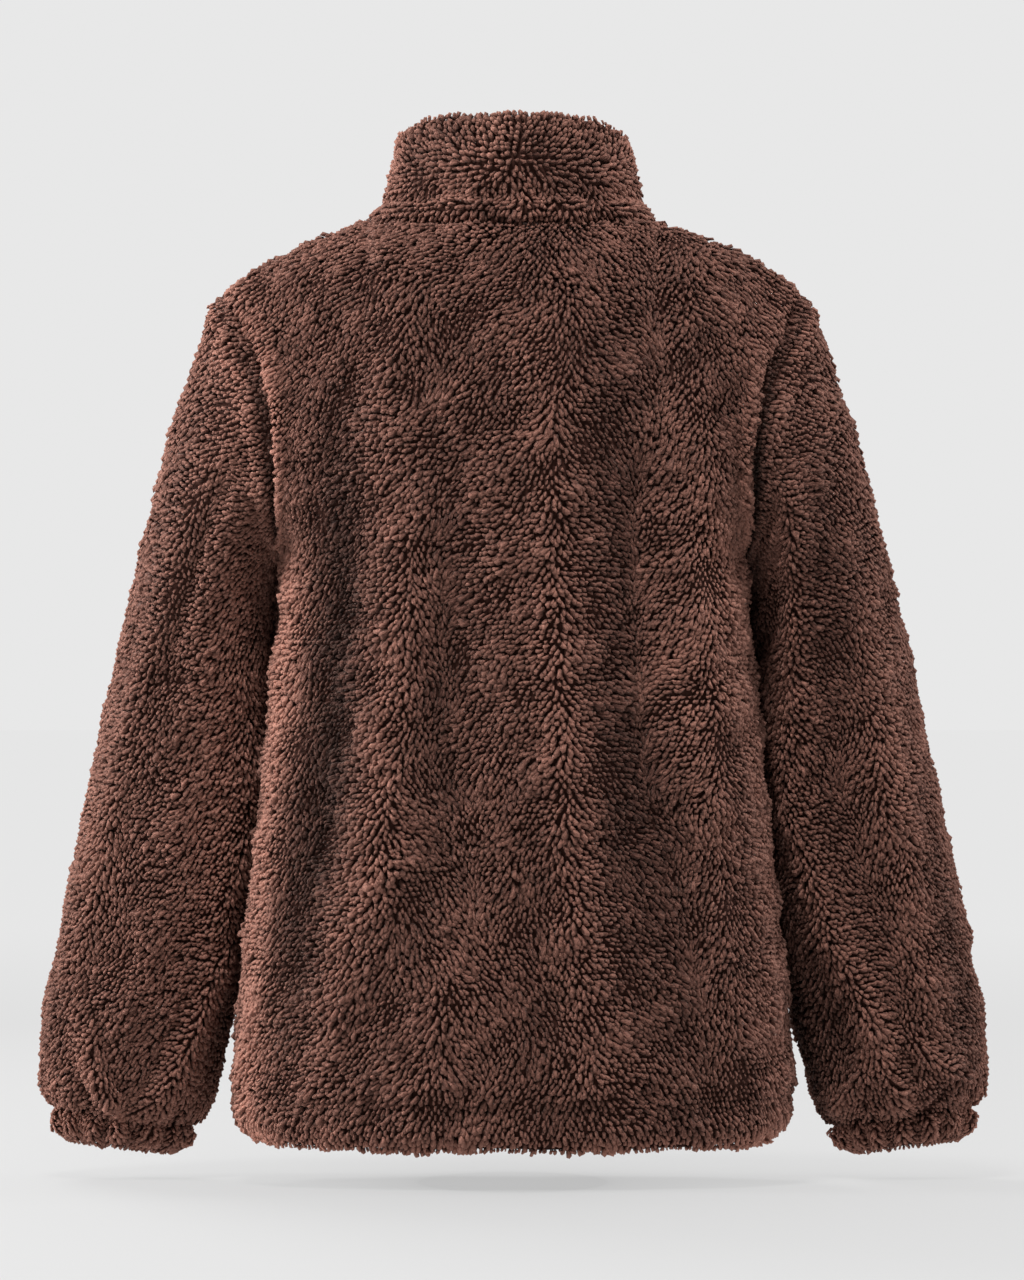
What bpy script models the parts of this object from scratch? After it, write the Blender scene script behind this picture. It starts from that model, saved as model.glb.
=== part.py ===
"""A pile fleece jacket, hollow and filled out as if worn, with its front zip closed.

Metres, +Z up. The chest faces -Y and the wearer's left is +X. The origin is the middle of the
neck opening, at the height of the back neck seam. Each cut piece is one closed wall, lofted
between an outer and an inner grid of points, and neighbours stay SEAM_GAP apart.
"""

import math
from collections import namedtuple

import bmesh
import bpy
import numpy as np

# Cloth
SEAM_GAP = 0.0003
SET_IN_GAP = 0.0006  # at the curved seams of the armholes and the neck
PILE_WALL = 0.006
COLLAR_WALL = 0.010
BODY_ROUNDNESS = 2.4  # power of the body's superellipse section

# Heights and neck
HEM_HEIGHT = -0.667
HEM_RISE = 0.010  # at the side seams
UNDERARM_HEIGHT = -0.241
NECK_HALF_WIDTH = 0.104
BACK_NECK_DEPTH = 0.062
FRONT_NECK_DEPTH = 0.100
FRONT_NECK_DROP = 0.070
FRONT_EDGE = 0.009  # half the width of the slot between the two fronts
SHOULDER_FALL = 0.030
SHOULDER_CURL = 0.0185
DOME_POWER = 2.7  # power of the curve that rolls from the back or chest over the shoulder
NECK_STOP = math.radians(60)  # where that curve ends at the neck, short of level

# Grid counts
BODY_COLUMNS = 10  # across half of the back, and across one front
LOWER_ROWS = 15
UPPER_ROWS = 10
SLEEVE_ROWS_COUNT = 18
COLLAR_TILT = math.tan(math.radians(20))
COLLAR_TOP = 0.075  # at the centre back

# Zip
ZIP_EDGE = 0.0035
TAPE_REACH = 0.021
TAPE_SETBACK = 0.0011
TAPE_THICKNESS = 0.001
CHAIN_HALF_WIDTH = 0.003
CHAIN_HALF_THICKNESS = 0.0013
BOX_LENGTH = 0.010
BOX_OVER_CHAIN = 0.0006  # how much thicker the box is on each side
SLIDER_BELOW_TOP = 0.012
CHAIN_TOP_IN_SLIDER = 0.0012  # above the slider's middle
CHAIN_LAST_ROW_BELOW = 0.012
SLIDER_HALF_WIDTH = 0.0045
SLIDER_HALF_LENGTH = 0.006
PLATE_NEAR = 0.0017
PLATE_FAR = 0.0030
PLATE_OVERLAP = 0.0006  # how far the post runs into each plate
CROWN_HALF_WIDTH = 0.001
POST_BOTTOM = 0.0020
POST_TOP = 0.0050
CROWN_OUTLINE = (  # outward and upward, round its outer side and back round its inner side
    (0.0025, -0.0044),
    (0.0052, -0.0042),
    (0.0068, -0.0026),
    (0.0068, 0.0026),
    (0.0052, 0.0042),
    (0.0025, 0.0044),
    (0.0025, 0.0035),
    (0.0049, 0.0033),
    (0.0059, 0.0021),
    (0.0059, -0.0021),
    (0.0049, -0.0033),
    (0.0025, -0.0035),
)
PIN_HEIGHT = 0.0046
PIN_RADIUS = 0.0006
ARM_INNER = 0.0018
ARM_OUTER = 0.0028
ARM_LENGTH = 0.006
TAB_HALF_WIDTH = 0.0034
TAB_LENGTH = 0.030

BodyRow = namedtuple("BodyRow", "height half_width back_depth front_depth")
BODY_ROWS = (
    BodyRow(-0.667, 0.1950, 0.131, 0.133),
    BodyRow(-0.640, 0.2010, 0.136, 0.138),
    BodyRow(-0.586, 0.1995, 0.136, 0.139),
    BodyRow(-0.528, 0.1940, 0.134, 0.137),
    BodyRow(-0.463, 0.1870, 0.131, 0.134),
    BodyRow(-0.405, 0.1810, 0.129, 0.131),
    BodyRow(-0.347, 0.1740, 0.127, 0.129),
    BodyRow(-0.289, 0.1690, 0.126, 0.128),
    BodyRow(-0.241, 0.1660, 0.125, 0.127),
)

# One half of the armhole seam, from the underarm up to the shoulder tip.
ArmholeRow = namedtuple("ArmholeRow", "height half_width back_reach front_reach")
ARMHOLE_ROWS = (
    ArmholeRow(-0.2410, 0.1660, 0.000, 0.000),
    ArmholeRow(-0.2340, 0.1662, 0.030, 0.032),
    ArmholeRow(-0.2180, 0.1668, 0.049, 0.053),
    ArmholeRow(-0.1920, 0.1685, 0.061, 0.066),
    ArmholeRow(-0.1480, 0.1740, 0.066, 0.070),
    ArmholeRow(-0.1140, 0.1805, 0.061, 0.065),
    ArmholeRow(-0.0840, 0.1930, 0.044, 0.047),
    ArmholeRow(-0.0600, 0.2040, 0.021, 0.022),
    ArmholeRow(-0.0500, 0.2070, 0.000, 0.000),
)

# Sections of the left sleeve: its outermost and innermost points, its middle across the
# depth, and how far it has turned from the armhole's shape into an oval.
SleeveRow = namedtuple(
    "SleeveRow", "outer_x outer_z inner_x inner_z middle_y half_depth oval"
)
SLEEVE_ROWS = (
    SleeveRow(0.2070, -0.050, 0.1660, -0.2410, -0.001, 0.068, 0.00),
    SleeveRow(0.2210, -0.075, 0.1690, -0.2405, -0.005, 0.070, 0.20),
    SleeveRow(0.2335, -0.107, 0.1708, -0.2440, -0.011, 0.073, 0.50),
    SleeveRow(0.2500, -0.158, 0.1712, -0.2520, -0.020, 0.077, 0.85),
    SleeveRow(0.2630, -0.209, 0.1708, -0.2640, -0.030, 0.079, 1.00),
    SleeveRow(0.2730, -0.250, 0.1705, -0.2830, -0.039, 0.079, 1.00),
    SleeveRow(0.2860, -0.303, 0.1712, -0.3250, -0.050, 0.078, 1.00),
    SleeveRow(0.2990, -0.361, 0.1732, -0.3800, -0.058, 0.076, 1.00),
    SleeveRow(0.3115, -0.419, 0.1780, -0.4380, -0.064, 0.074, 1.00),
    SleeveRow(0.3235, -0.477, 0.1860, -0.4970, -0.068, 0.071, 1.00),
    SleeveRow(0.3340, -0.528, 0.1965, -0.5490, -0.070, 0.068, 1.00),
    SleeveRow(0.3425, -0.571, 0.2080, -0.5920, -0.071, 0.066, 1.00),
    SleeveRow(0.3460, -0.606, 0.2165, -0.6270, -0.071, 0.064, 1.00),
    SleeveRow(0.3455, -0.624, 0.2210, -0.6420, -0.071, 0.060, 1.00),
    SleeveRow(0.3415, -0.637, 0.2265, -0.6515, -0.071, 0.052, 1.00),
    SleeveRow(0.3365, -0.642, 0.2325, -0.6560, -0.071, 0.043, 1.00),
)
PUFF_ROWS = 3  # closely set rows where the sleeve turns in over the cuff

CuffRow = namedtuple("CuffRow", "outer_x outer_z inner_x inner_z half_depth")
CUFF_ROWS = (
    CuffRow(0.3395, -0.6490, 0.2320, -0.6640, 0.045),
    CuffRow(0.3395, -0.6580, 0.2345, -0.6715, 0.045),
    CuffRow(0.3365, -0.6650, 0.2390, -0.6775, 0.041),
)

# The collar from its seam up: share of the height, its half width, and how far its middle
# line lies behind and in front of the neck's centre.
CollarRow = namedtuple("CollarRow", "share half_width back_depth front_depth wall")
COLLAR_ROWS = (
    CollarRow(0.16, 0.0985, 0.0625, 0.0985, 0.0085),
    CollarRow(0.28, 0.0935, 0.0585, 0.0950, COLLAR_WALL),
    CollarRow(0.45, 0.0900, 0.0580, 0.0935, COLLAR_WALL),
    CollarRow(0.75, 0.0850, 0.0565, 0.0900, COLLAR_WALL),
    CollarRow(1.00, 0.0810, 0.0535, 0.0860, COLLAR_WALL),
)

# Soft vertical folds of the body: a ridge runs from its top to its foot and bends outwards.
BodyFold = namedtuple("BodyFold", "top_x top_z foot_x foot_z half_width rise")
BACK_FOLDS = (
    BodyFold(0.075, -0.110, 0.147, -0.640, 0.024, 0.0060),
    BodyFold(-0.003, -0.110, 0.014, -0.560, 0.026, 0.0040),
    BodyFold(-0.140, -0.160, -0.116, -0.330, 0.022, 0.0045),
    BodyFold(-0.118, -0.290, -0.158, -0.560, 0.023, 0.0050),
    BodyFold(0.040, -0.470, 0.066, -0.660, 0.020, 0.0040),
    BodyFold(-0.052, -0.450, -0.078, -0.665, 0.022, 0.0040),
)
FRONT_FOLDS = (
    BodyFold(0.105, -0.150, 0.140, -0.600, 0.024, 0.0050),
    BodyFold(0.050, -0.330, 0.078, -0.660, 0.021, 0.0040),
    BodyFold(-0.096, -0.170, -0.146, -0.560, 0.023, 0.0050),
    BodyFold(-0.056, -0.300, -0.070, -0.650, 0.020, 0.0045),
)

# Ridges of a sleeve: shares of its length, and angles round it from the outermost line
# towards the back.
SleeveFold = namedtuple("SleeveFold", "start end from_angle to_angle half_angle rise")
LEFT_SLEEVE_FOLDS = (
    SleeveFold(0.22, 0.95, 112, 78, 24, 0.0050),
    SleeveFold(0.45, 0.92, 20, 48, 18, 0.0040),
    SleeveFold(0.30, 0.90, 250, 285, 24, 0.0045),
)
RIGHT_SLEEVE_FOLDS = (
    SleeveFold(0.25, 0.93, 100, 66, 24, 0.0050),
    SleeveFold(0.50, 0.94, 24, 40, 18, 0.0035),
    SleeveFold(0.34, 0.92, 262, 292, 24, 0.0045),
)


def smooth(stations, values, wanted):
    """Values read from a smooth curve through a table's rows (a cubic, with each row's
    slope taken from its neighbours)."""
    stations = np.asarray(stations, float)
    values = np.asarray(values, float)
    slopes = np.gradient(values, stations, axis=0)
    index = np.clip(np.searchsorted(stations, wanted) - 1, 0, len(stations) - 2)
    span = stations[index + 1] - stations[index]
    t = (wanted - stations[index]) / span
    if values.ndim > 1:
        t = t[:, None]
        span = span[:, None]
    start = values[index]
    end = values[index + 1]
    return (
        start * (1 + 2 * t) * (1 - t) ** 2
        + end * t**2 * (3 - 2 * t)
        + slopes[index] * span * t * (1 - t) ** 2
        - slopes[index + 1] * span * t**2 * (1 - t)
    )


def spread(rows, count, measured=None):
    """Table rows resampled to count rows, evenly spaced along the measured columns."""
    rows = np.asarray(rows, float)
    measured = rows if measured is None else rows[:, measured]
    steps = np.linalg.norm(np.diff(measured, axis=0), axis=1)
    along = np.concatenate([[0.0], np.cumsum(steps)])
    return smooth(along, rows, np.linspace(0, along[-1], count))


def dome_curve(stop):
    """Shares of the height gained and of the depth kept along a quarter superellipse that
    ends at the angle stop, in UPPER_ROWS even steps."""
    angle = np.linspace(0, stop, 400)
    height = np.sin(angle) ** (2 / DOME_POWER)
    depth = np.cos(angle) ** (2 / DOME_POWER)
    rise = height / height[-1]
    kept = (depth - depth[-1]) / (1 - depth[-1])
    # A shoulder column is about twice as high as it is deep.
    steps = np.hypot(np.diff(2 * rise), np.diff(kept))
    along = np.concatenate([[0.0], np.cumsum(steps)])
    even = np.linspace(0, along[-1], UPPER_ROWS + 1)
    return np.interp(even, along, rise), np.interp(even, along, kept)


def unit(vectors):
    return vectors / np.linalg.norm(vectors, axis=-1, keepdims=True)


def grid_normals(points, around=False):
    """Unit normals of a grid, from its neighbours along the rows and the columns."""
    if around:
        wide = np.concatenate([points[:, -2:], points, points[:, :2]], axis=1)
        across = np.gradient(wide, axis=1)[:, 2:-2]
    else:
        across = np.gradient(points, axis=1, edge_order=2)
    along = np.gradient(points, axis=0, edge_order=2)
    return unit(np.cross(across, along))


def body_fold_height(folds, x, z):
    """Outward rise of the folds at a point of the body."""
    total = np.zeros_like(x)
    for fold in folds:
        t = np.clip((fold.top_z - z) / (fold.top_z - fold.foot_z), 0, 1)
        line = fold.top_x + (fold.foot_x - fold.top_x) * t**2
        across = np.exp(-(((x - line) / fold.half_width) ** 2))
        total += fold.rise * across * np.sin(math.pi * t) ** 0.7
    return total


def body_panel(share, back):
    """Outer points of the back, or of the left front, as rows from the hem up. share runs
    across: 0 at the centre line and 1 at the side seam and armhole."""
    side = 1 if back else -1
    share = np.asarray(share, float)
    reach = np.abs(share)
    turn = (math.pi / 2) * (1 - reach)
    power = 2 / BODY_ROUNDNESS
    ring_x = np.cos(turn).clip(0) ** power
    ring_y = np.sin(turn) ** power
    heights = [row.height for row in BODY_ROWS]
    z = np.linspace(HEM_HEIGHT, UNDERARM_HEIGHT, LOWER_ROWS + 1)
    half_width = smooth(heights, [row.half_width for row in BODY_ROWS], z)
    depths = [row.back_depth if back else row.front_depth for row in BODY_ROWS]
    depth = smooth(heights, depths, z)
    above_hem = (z - HEM_HEIGHT) / (UNDERARM_HEIGHT - HEM_HEIGHT)
    hem_lift = HEM_RISE * (1 - above_hem[:, None]) ** 4 * reach**3
    lower = np.stack(
        [half_width[:, None] * ring_x, depth[:, None] * ring_y, z[:, None] + hem_lift], axis=-1
    )

    # Neck and shoulder line, which the upper rows end on
    neck = reach <= 0.5
    neck_angle = math.pi * np.minimum(reach, 0.5)
    neck_depth = BACK_NECK_DEPTH if back else FRONT_NECK_DEPTH
    neck_drop = 0 if back else FRONT_NECK_DROP
    down = (reach - 0.5).clip(0) / 0.5
    tip_x = ARMHOLE_ROWS[-1].half_width
    top_x = np.where(
        neck,
        NECK_HALF_WIDTH * np.sin(neck_angle),
        NECK_HALF_WIDTH + (tip_x - NECK_HALF_WIDTH) * down,
    )
    top_y = neck_depth * np.cos(neck_angle).clip(0)
    top_z = -0.0015 - neck_drop * np.cos(neck_angle).clip(0) ** 1.5
    top_z = top_z - SHOULDER_FALL * down - SHOULDER_CURL * down**3

    edge = spread(
        [
            (row.half_width, row.back_reach if back else row.front_reach, row.height)
            for row in ARMHOLE_ROWS
        ],
        UPPER_ROWS + 1,
    )
    level_rise, level_kept = dome_curve(math.pi / 2)
    neck_rise, neck_kept = dome_curve(NECK_STOP)
    open_share = np.cos(neck_angle).clip(0) ** 2
    rise = level_rise[:, None] * (1 - open_share) + neck_rise[:, None] * open_share
    kept = level_kept[:, None] * (1 - open_share) + neck_kept[:, None] * open_share
    climbed = np.linspace(0, 1, UPPER_ROWS + 1)[:, None]
    to_top = climbed**2 * (3 - 2 * climbed)
    x = edge[:, :1] * ((1 - to_top) * ring_x + to_top * top_x / tip_x)
    y = top_y + (depth[-1] * ring_y - top_y) * kept
    z = UNDERARM_HEIGHT + (top_z - UNDERARM_HEIGHT) * rise
    pull = reach**3
    y = y + (edge[:, 1:2] - y[:, -1:]) * pull
    z = z + (edge[:, 2:3] - z[:, -1:]) * pull
    upper = np.stack([x, y, z], axis=-1)

    points = np.concatenate([lower, upper[1:]])
    if not back:
        widest = points[:, -1:, 0]
        points[..., 0] = FRONT_EDGE + points[..., 0] * (widest - FRONT_EDGE) / widest
    points[..., 0] *= np.where(share < 0, -1, 1)
    points[..., 1] *= side
    return points


def body_normals(points, share, back):
    """Normals that two neighbours can share: they lie in the plane of each straight seam."""
    normals = grid_normals(points)
    if normals[LOWER_ROWS // 2, :, 1].mean() * (1 if back else -1) < 0:
        normals = -normals
    at_side = np.abs(share) == 1
    sideways = np.stack([np.sign(share), 0 * share, 0 * share], axis=-1)
    beside = normals[:, -2:-1]
    normals[LOWER_ROWS:, at_side] = unit(beside[LOWER_ROWS:] + sideways[-1])
    if share[0] < 0:
        beside = normals[:, 1:2]
        normals[LOWER_ROWS:, 0] = unit(beside[LOWER_ROWS:, 0] + sideways[0])
    normals[: LOWER_ROWS + 1, at_side, 1] = 0
    normals[-1, np.abs(share) >= 0.5, 1] = 0
    if not back:
        normals[:, 0, 0] = 0
    return unit(normals)


def panel_grids(back, folds, mirrored=False):
    """Outer and inner grids of a body panel, without the seam gap."""
    share = np.linspace(0, 1, BODY_COLUMNS + 1)
    if back:
        share = np.concatenate([-share[:0:-1], share])
    points = body_panel(share, back)
    normals = body_normals(points, share, back)
    sign = -1 if mirrored else 1
    lift = body_fold_height(folds, sign * points[..., 0], points[..., 2])
    lift = lift * (1 - np.abs(share) ** 4)
    outer = points + normals * lift[..., None]
    inner = outer - normals * PILE_WALL
    flip = np.array([sign, 1, 1])
    return outer * flip, inner * flip, normals * flip


def join_rings(*halves):
    """Columns of points end to end round a seam, each joint's point kept once."""
    kept = [half[:-1] for half in halves]
    return np.concatenate(kept)


def armhole_loop(back, front):
    """The armhole from the underarm up the back and down the front, as outer and inner
    points and the direction that leads off the panels, into the sleeve."""
    rings = []
    for layer in range(3):
        up = back[layer][LOWER_ROWS:, -1]
        down = front[layer][LOWER_ROWS:, -1][::-1]
        rings.append(join_rings(up, down))
    outer, inner, normals = rings
    tangent = np.roll(outer, -1, axis=0) - np.roll(outer, 1, axis=0)
    off = unit(np.cross(tangent, normals))
    tip = UPPER_ROWS
    if off[tip, 0] < 0:
        off = -off
    return outer, inner, off


def sleeve_section(row):
    """Middle of a section, and half the step from its innermost to its outermost point."""
    outer = np.array([row[0], 0, row[1]])
    inner = np.array([row[2], 0, row[3]])
    middle = (outer + inner) / 2
    half = (outer - inner) / 2
    return middle, half


def sleeve_grids(loop, folds):
    """Outer and inner grids of the left sleeve: the armhole's own loop, turning row by row
    into ovals that hang down and a little forward."""
    start, start_inner, off = loop
    count = len(start)
    rows = np.asarray(SLEEVE_ROWS, float)
    hanging = spread(rows[:-PUFF_ROWS], SLEEVE_ROWS_COUNT, [0, 1, 2, 3])
    rows = np.concatenate([hanging, rows[-PUFF_ROWS:]])
    turn = 2 * math.pi * np.arange(count) / count
    height_share = -np.cos(turn)
    depth_share = np.sin(turn)
    depth_axis = np.array([0, 1.0, 0])

    first_middle, first_half = sleeve_section(rows[0])
    first_middle = first_middle + depth_axis * rows[0][4]
    offset = start - first_middle
    armhole_height = offset @ first_half / (first_half @ first_half)
    armhole_depth = offset[:, 1] / rows[0][5]
    rest = offset - armhole_height[:, None] * first_half
    rest[:, 1] = 0

    grid = []
    for row in rows:
        middle, half = sleeve_section(row)
        middle = middle + depth_axis * row[4]
        oval = row[6].clip(0, 1)
        up = armhole_height * (1 - oval) + height_share * oval
        back = armhole_depth * (1 - oval) + depth_share * oval
        ring = middle + up[:, None] * half + (back * row[5])[:, None] * depth_axis
        grid.append(ring + rest * (1 - oval) ** 2)
    grid = np.array(grid)
    grid[0] = start + off * SET_IN_GAP
    normals = grid_normals(grid, around=True)
    outward = grid - grid.mean(axis=1, keepdims=True)
    if (normals * outward).sum() < 0:
        normals = -normals
    last_half = sleeve_section(rows[-1])[1]
    axis = unit(np.cross(last_half, depth_axis))
    if axis[2] > 0:
        axis = -axis
    normals[-1] = unit(normals[-1] - (normals[-1] @ axis)[:, None] * axis)

    share = np.linspace(0, 1, len(rows))[:, None]
    around = np.degrees(turn)[None, :]
    lift = sleeve_fold_height(folds, share, around)
    outer = grid + normals * lift[..., None]
    inner = outer - normals * PILE_WALL
    inner[0] = start_inner + off * SET_IN_GAP
    return outer, inner, axis


def sleeve_fold_height(folds, share, around):
    """Outward rise of the folds. around is 0 at the underarm, 90 at the back and 180 at the
    outermost line."""
    total = np.zeros(np.broadcast(share, around).shape)
    for fold in folds:
        t = np.clip((share - fold.start) / (fold.end - fold.start), 0, 1)
        line = 180 - (fold.from_angle + (fold.to_angle - fold.from_angle) * t)
        apart = (around - line + 180) % 360 - 180
        total = total + fold.rise * np.exp(-((apart / fold.half_angle) ** 2)) * np.sin(
            math.pi * t
        )
    return total


def cuff_grids(sleeve_outer, sleeve_inner, axis, middle_y):
    """A short band that goes on from the sleeve's last row."""
    count = sleeve_outer.shape[1]
    turn = 2 * math.pi * np.arange(count) / count
    rings = [sleeve_outer[-1] + axis * SEAM_GAP]
    for row in CUFF_ROWS:
        middle, half = sleeve_section(row)
        ring = middle - np.cos(turn)[:, None] * half
        ring[:, 1] += middle_y + row.half_depth * np.sin(turn)
        rings.append(ring)
    outer = np.array(rings)
    normals = grid_normals(outer, around=True)
    outward = outer - outer.mean(axis=1, keepdims=True)
    if (normals * outward).sum() < 0:
        normals = -normals
    normals = unit(normals - (normals @ axis)[..., None] * axis)
    inner = outer - normals * PILE_WALL
    inner[0] = sleeve_inner[-1] + axis * SEAM_GAP
    return outer, inner


def neck_loop(back, front_left, front_right):
    """The neck seam from the left front edge round the back to the right front edge."""
    half = BODY_COLUMNS // 2
    rings = []
    for layer in range(3):
        left = front_left[layer][-1, : half + 1]
        behind = back[layer][-1, half : 3 * half + 1][::-1]
        right = front_right[layer][-1, : half + 1][::-1]
        rings.append(np.concatenate([left[:-1], behind, right[1:]]))
    outer, inner, normals = rings
    tangent = np.gradient(outer, axis=0)
    off = unit(np.cross(tangent, normals))
    if off[len(off) // 2, 2] < 0:
        off = -off
    return outer, inner, off


def collar_grids(loop):
    """A stand collar: rings that narrow upwards from the neck seam to a tilted top edge."""
    start, start_inner, off = loop
    count = len(start)
    angle = np.linspace(-math.pi, math.pi, count)
    edge_angle = math.asin(FRONT_EDGE / COLLAR_ROWS[-1].half_width)
    angle = angle * (math.pi - edge_angle) / math.pi
    behind = np.cos(angle)
    rings = [start + off * SET_IN_GAP]
    for row in COLLAR_ROWS:
        x = -row.half_width * np.sin(angle)
        y = np.where(behind > 0, row.back_depth, row.front_depth) * behind
        top = COLLAR_TOP - COLLAR_TILT * (COLLAR_ROWS[-1].back_depth - y)
        z = start[:, 2] * (1 - row.share) + top * row.share
        rings.append(np.stack([x, y, z], axis=-1))
    outer = np.array(rings)
    outer[:, 0, 0] = FRONT_EDGE
    outer[:, -1, 0] = -FRONT_EDGE
    normals = grid_normals(outer)
    outward = outer - outer.mean(axis=1, keepdims=True)
    if (normals * outward).sum() < 0:
        normals = -normals
    normals[:, [0, -1], 0] = 0
    normals[1:, :, 2] *= 0.3  # the wall stands nearly upright
    normals = unit(normals)
    walls = np.array([PILE_WALL] + [row.wall for row in COLLAR_ROWS])
    inner = outer - normals * walls[:, None, None]
    inner[0] = start_inner + off * SET_IN_GAP
    inner[0, [0, -1], 0] = outer[0, [0, -1], 0]
    return outer, inner, normals


def wall_object(name, outer, inner, around, material, collection):
    """One closed wall between two grids. around joins the last column to the first."""
    rows, columns = outer.shape[:2]
    spans = columns if around else columns - 1

    def corner(layer, row, column):
        return (layer * rows + row) * columns + column % columns

    faces = []
    for row in range(rows - 1):
        for column in range(spans):
            loop = ((row, column), (row, column + 1), (row + 1, column + 1), (row + 1, column))
            faces.append([corner(0, *place) for place in loop])
            faces.append([corner(1, *place) for place in loop])
    rims = [((row, c), (row, c + 1)) for row in (0, rows - 1) for c in range(spans)]
    if not around:
        rims += [((r, c), (r + 1, c)) for c in (0, columns - 1) for r in range(rows - 1)]
    points = np.concatenate([outer.reshape(-1, 3), inner.reshape(-1, 3)])
    for first, second in rims:
        # Split along the shorter diagonal, so that both sides of a seam have the same facets
        a, b = corner(0, *first), corner(0, *second)
        c, d = corner(1, *second), corner(1, *first)
        if np.linalg.norm(points[a] - points[c]) < np.linalg.norm(points[b] - points[d]):
            faces += [[a, b, c], [a, c, d]]
        else:
            faces += [[a, b, d], [b, c, d]]
    mesh = bpy.data.meshes.new(name)
    mesh.from_pydata(points.tolist(), [], faces)
    build = bmesh.new()
    build.from_mesh(mesh)
    bmesh.ops.recalc_face_normals(build, faces=build.faces)
    build.to_mesh(mesh)
    build.free()
    return add_object(name, mesh, material, collection)


def add_object(name, mesh, material, collection):
    mesh.materials.append(material)
    mesh.shade_smooth()
    mesh.set_sharp_from_angle(angle=math.radians(40))
    placed = bpy.data.objects.new(name, mesh)
    collection.objects.link(placed)
    return placed


def make_material(name, colour, roughness, metallic=0.0):
    material = bpy.data.materials.new(name)
    material.use_nodes = True
    shader = material.node_tree.nodes["Principled BSDF"]
    shader.inputs["Base Color"].default_value = (*colour, 1)
    shader.inputs["Roughness"].default_value = roughness
    shader.inputs["Metallic"].default_value = metallic
    return material


def zip_line(front, collar):
    """For each row up the front edge and the collar: a point on the inner side, the step to
    the next column, and the outward normal."""
    rows = []
    for row in range(front[1].shape[0]):
        rows.append((front[1][row, 0], front[1][row, 1], front[2][row, 0]))
    for row in range(1, collar[1].shape[0]):
        rows.append((collar[1][row, 0], collar[1][row, 1], collar[2][row, 0]))
    return rows


def point_beside(row, x, depth):
    """A point of the zip at x, set back by depth from the cloth's inner side."""
    edge, beside, normal = row
    t = max((x - edge[0]) / (beside[0] - edge[0]), 0)
    point = edge + (beside - edge) * t
    point[0] = x
    return point - normal * depth


def strip_object(name, rows, near_x, far_x, near, far, sign, material, collection):
    """A flat strip along the zip, between two x values and two set-back depths."""
    flip = np.array([sign, 1, 1])
    outer = np.array([[point_beside(row, x, near) * flip for x in (near_x, far_x)] for row in rows])
    inner = np.array([[point_beside(row, x, far) * flip for x in (near_x, far_x)] for row in rows])
    return wall_object(name, outer, inner, False, material, collection)


def centre_row(row):
    """The same row of the zip, carried level across the centre line."""
    edge, _, normal = row
    left = np.array([1.0, edge[1], edge[2]])
    right = np.array([-1.0, edge[1], edge[2]])
    return right, left, normal


def row_through(place, normal, depth):
    """A level row of the zip whose centre, set back by depth, is at place."""
    base = place + normal * depth
    left = np.array([1.0, base[1], base[2]])
    right = np.array([-1.0, base[1], base[2]])
    return right, left, normal


def block(name, low, high):
    """A box between two corners, in the slider's own directions."""
    bpy.ops.mesh.primitive_cube_add(size=1)
    made = bpy.context.object
    made.name = name
    made.scale = [b - a for a, b in zip(low, high)]
    made.location = [(a + b) / 2 for a, b in zip(low, high)]
    bpy.context.view_layer.update()
    made.data.transform(made.matrix_world)
    made.matrix_world.identity()
    return made


def outline_solid(name, outline, half_thickness, axis):
    """A flat outline given a thickness along X (outline in Y and Z) or along Y (in X and Z)."""
    build = bmesh.new()
    corners = []
    for a, b in outline:
        place = (-half_thickness, a, b) if axis == "X" else (a, -half_thickness, b)
        corners.append(build.verts.new(place))
    face = build.faces.new(corners)
    grown = bmesh.ops.extrude_face_region(build, geom=[face])
    moved = [item for item in grown["geom"] if isinstance(item, bmesh.types.BMVert)]
    step = (2 * half_thickness, 0, 0) if axis == "X" else (0, 2 * half_thickness, 0)
    bmesh.ops.translate(build, verts=moved, vec=step)
    bmesh.ops.recalc_face_normals(build, faces=build.faces)
    mesh = bpy.data.meshes.new(name)
    build.to_mesh(mesh)
    build.free()
    made = bpy.data.objects.new(name, mesh)
    bpy.context.scene.collection.objects.link(made)
    return made


def unite(first, others):
    """One solid made of overlapping ones, which are then removed."""
    for other in others:
        joint = first.modifiers.new("join", "BOOLEAN")
        joint.operation = "UNION"
        joint.object = other
    graph = bpy.context.evaluated_depsgraph_get()
    mesh = bpy.data.meshes.new_from_object(first.evaluated_get(graph))
    for old in (first, *others):
        bpy.data.objects.remove(old)
    return mesh


def slider_mesh():
    """Two plates joined by a post at the top, and a crown over the front plate. Here +Z is
    up the zip and -Y is outwards, with the zip's middle plane at Y = 0."""
    front = block(
        "front_plate",
        (-SLIDER_HALF_WIDTH, -PLATE_FAR, -SLIDER_HALF_LENGTH),
        (SLIDER_HALF_WIDTH, -PLATE_NEAR, SLIDER_HALF_LENGTH),
    )
    rear = block(
        "rear_plate",
        (-SLIDER_HALF_WIDTH, PLATE_NEAR, -SLIDER_HALF_LENGTH),
        (SLIDER_HALF_WIDTH, PLATE_FAR, SLIDER_HALF_LENGTH),
    )
    post = block(
        "post",
        (-CROWN_HALF_WIDTH, -PLATE_NEAR - PLATE_OVERLAP, POST_BOTTOM),
        (CROWN_HALF_WIDTH, PLATE_NEAR + PLATE_OVERLAP, POST_TOP),
    )
    outline = [(-outward, upward) for outward, upward in CROWN_OUTLINE]
    crown = outline_solid("crown", outline, CROWN_HALF_WIDTH, "X")
    return unite(front, [rear, post, crown])


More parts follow.
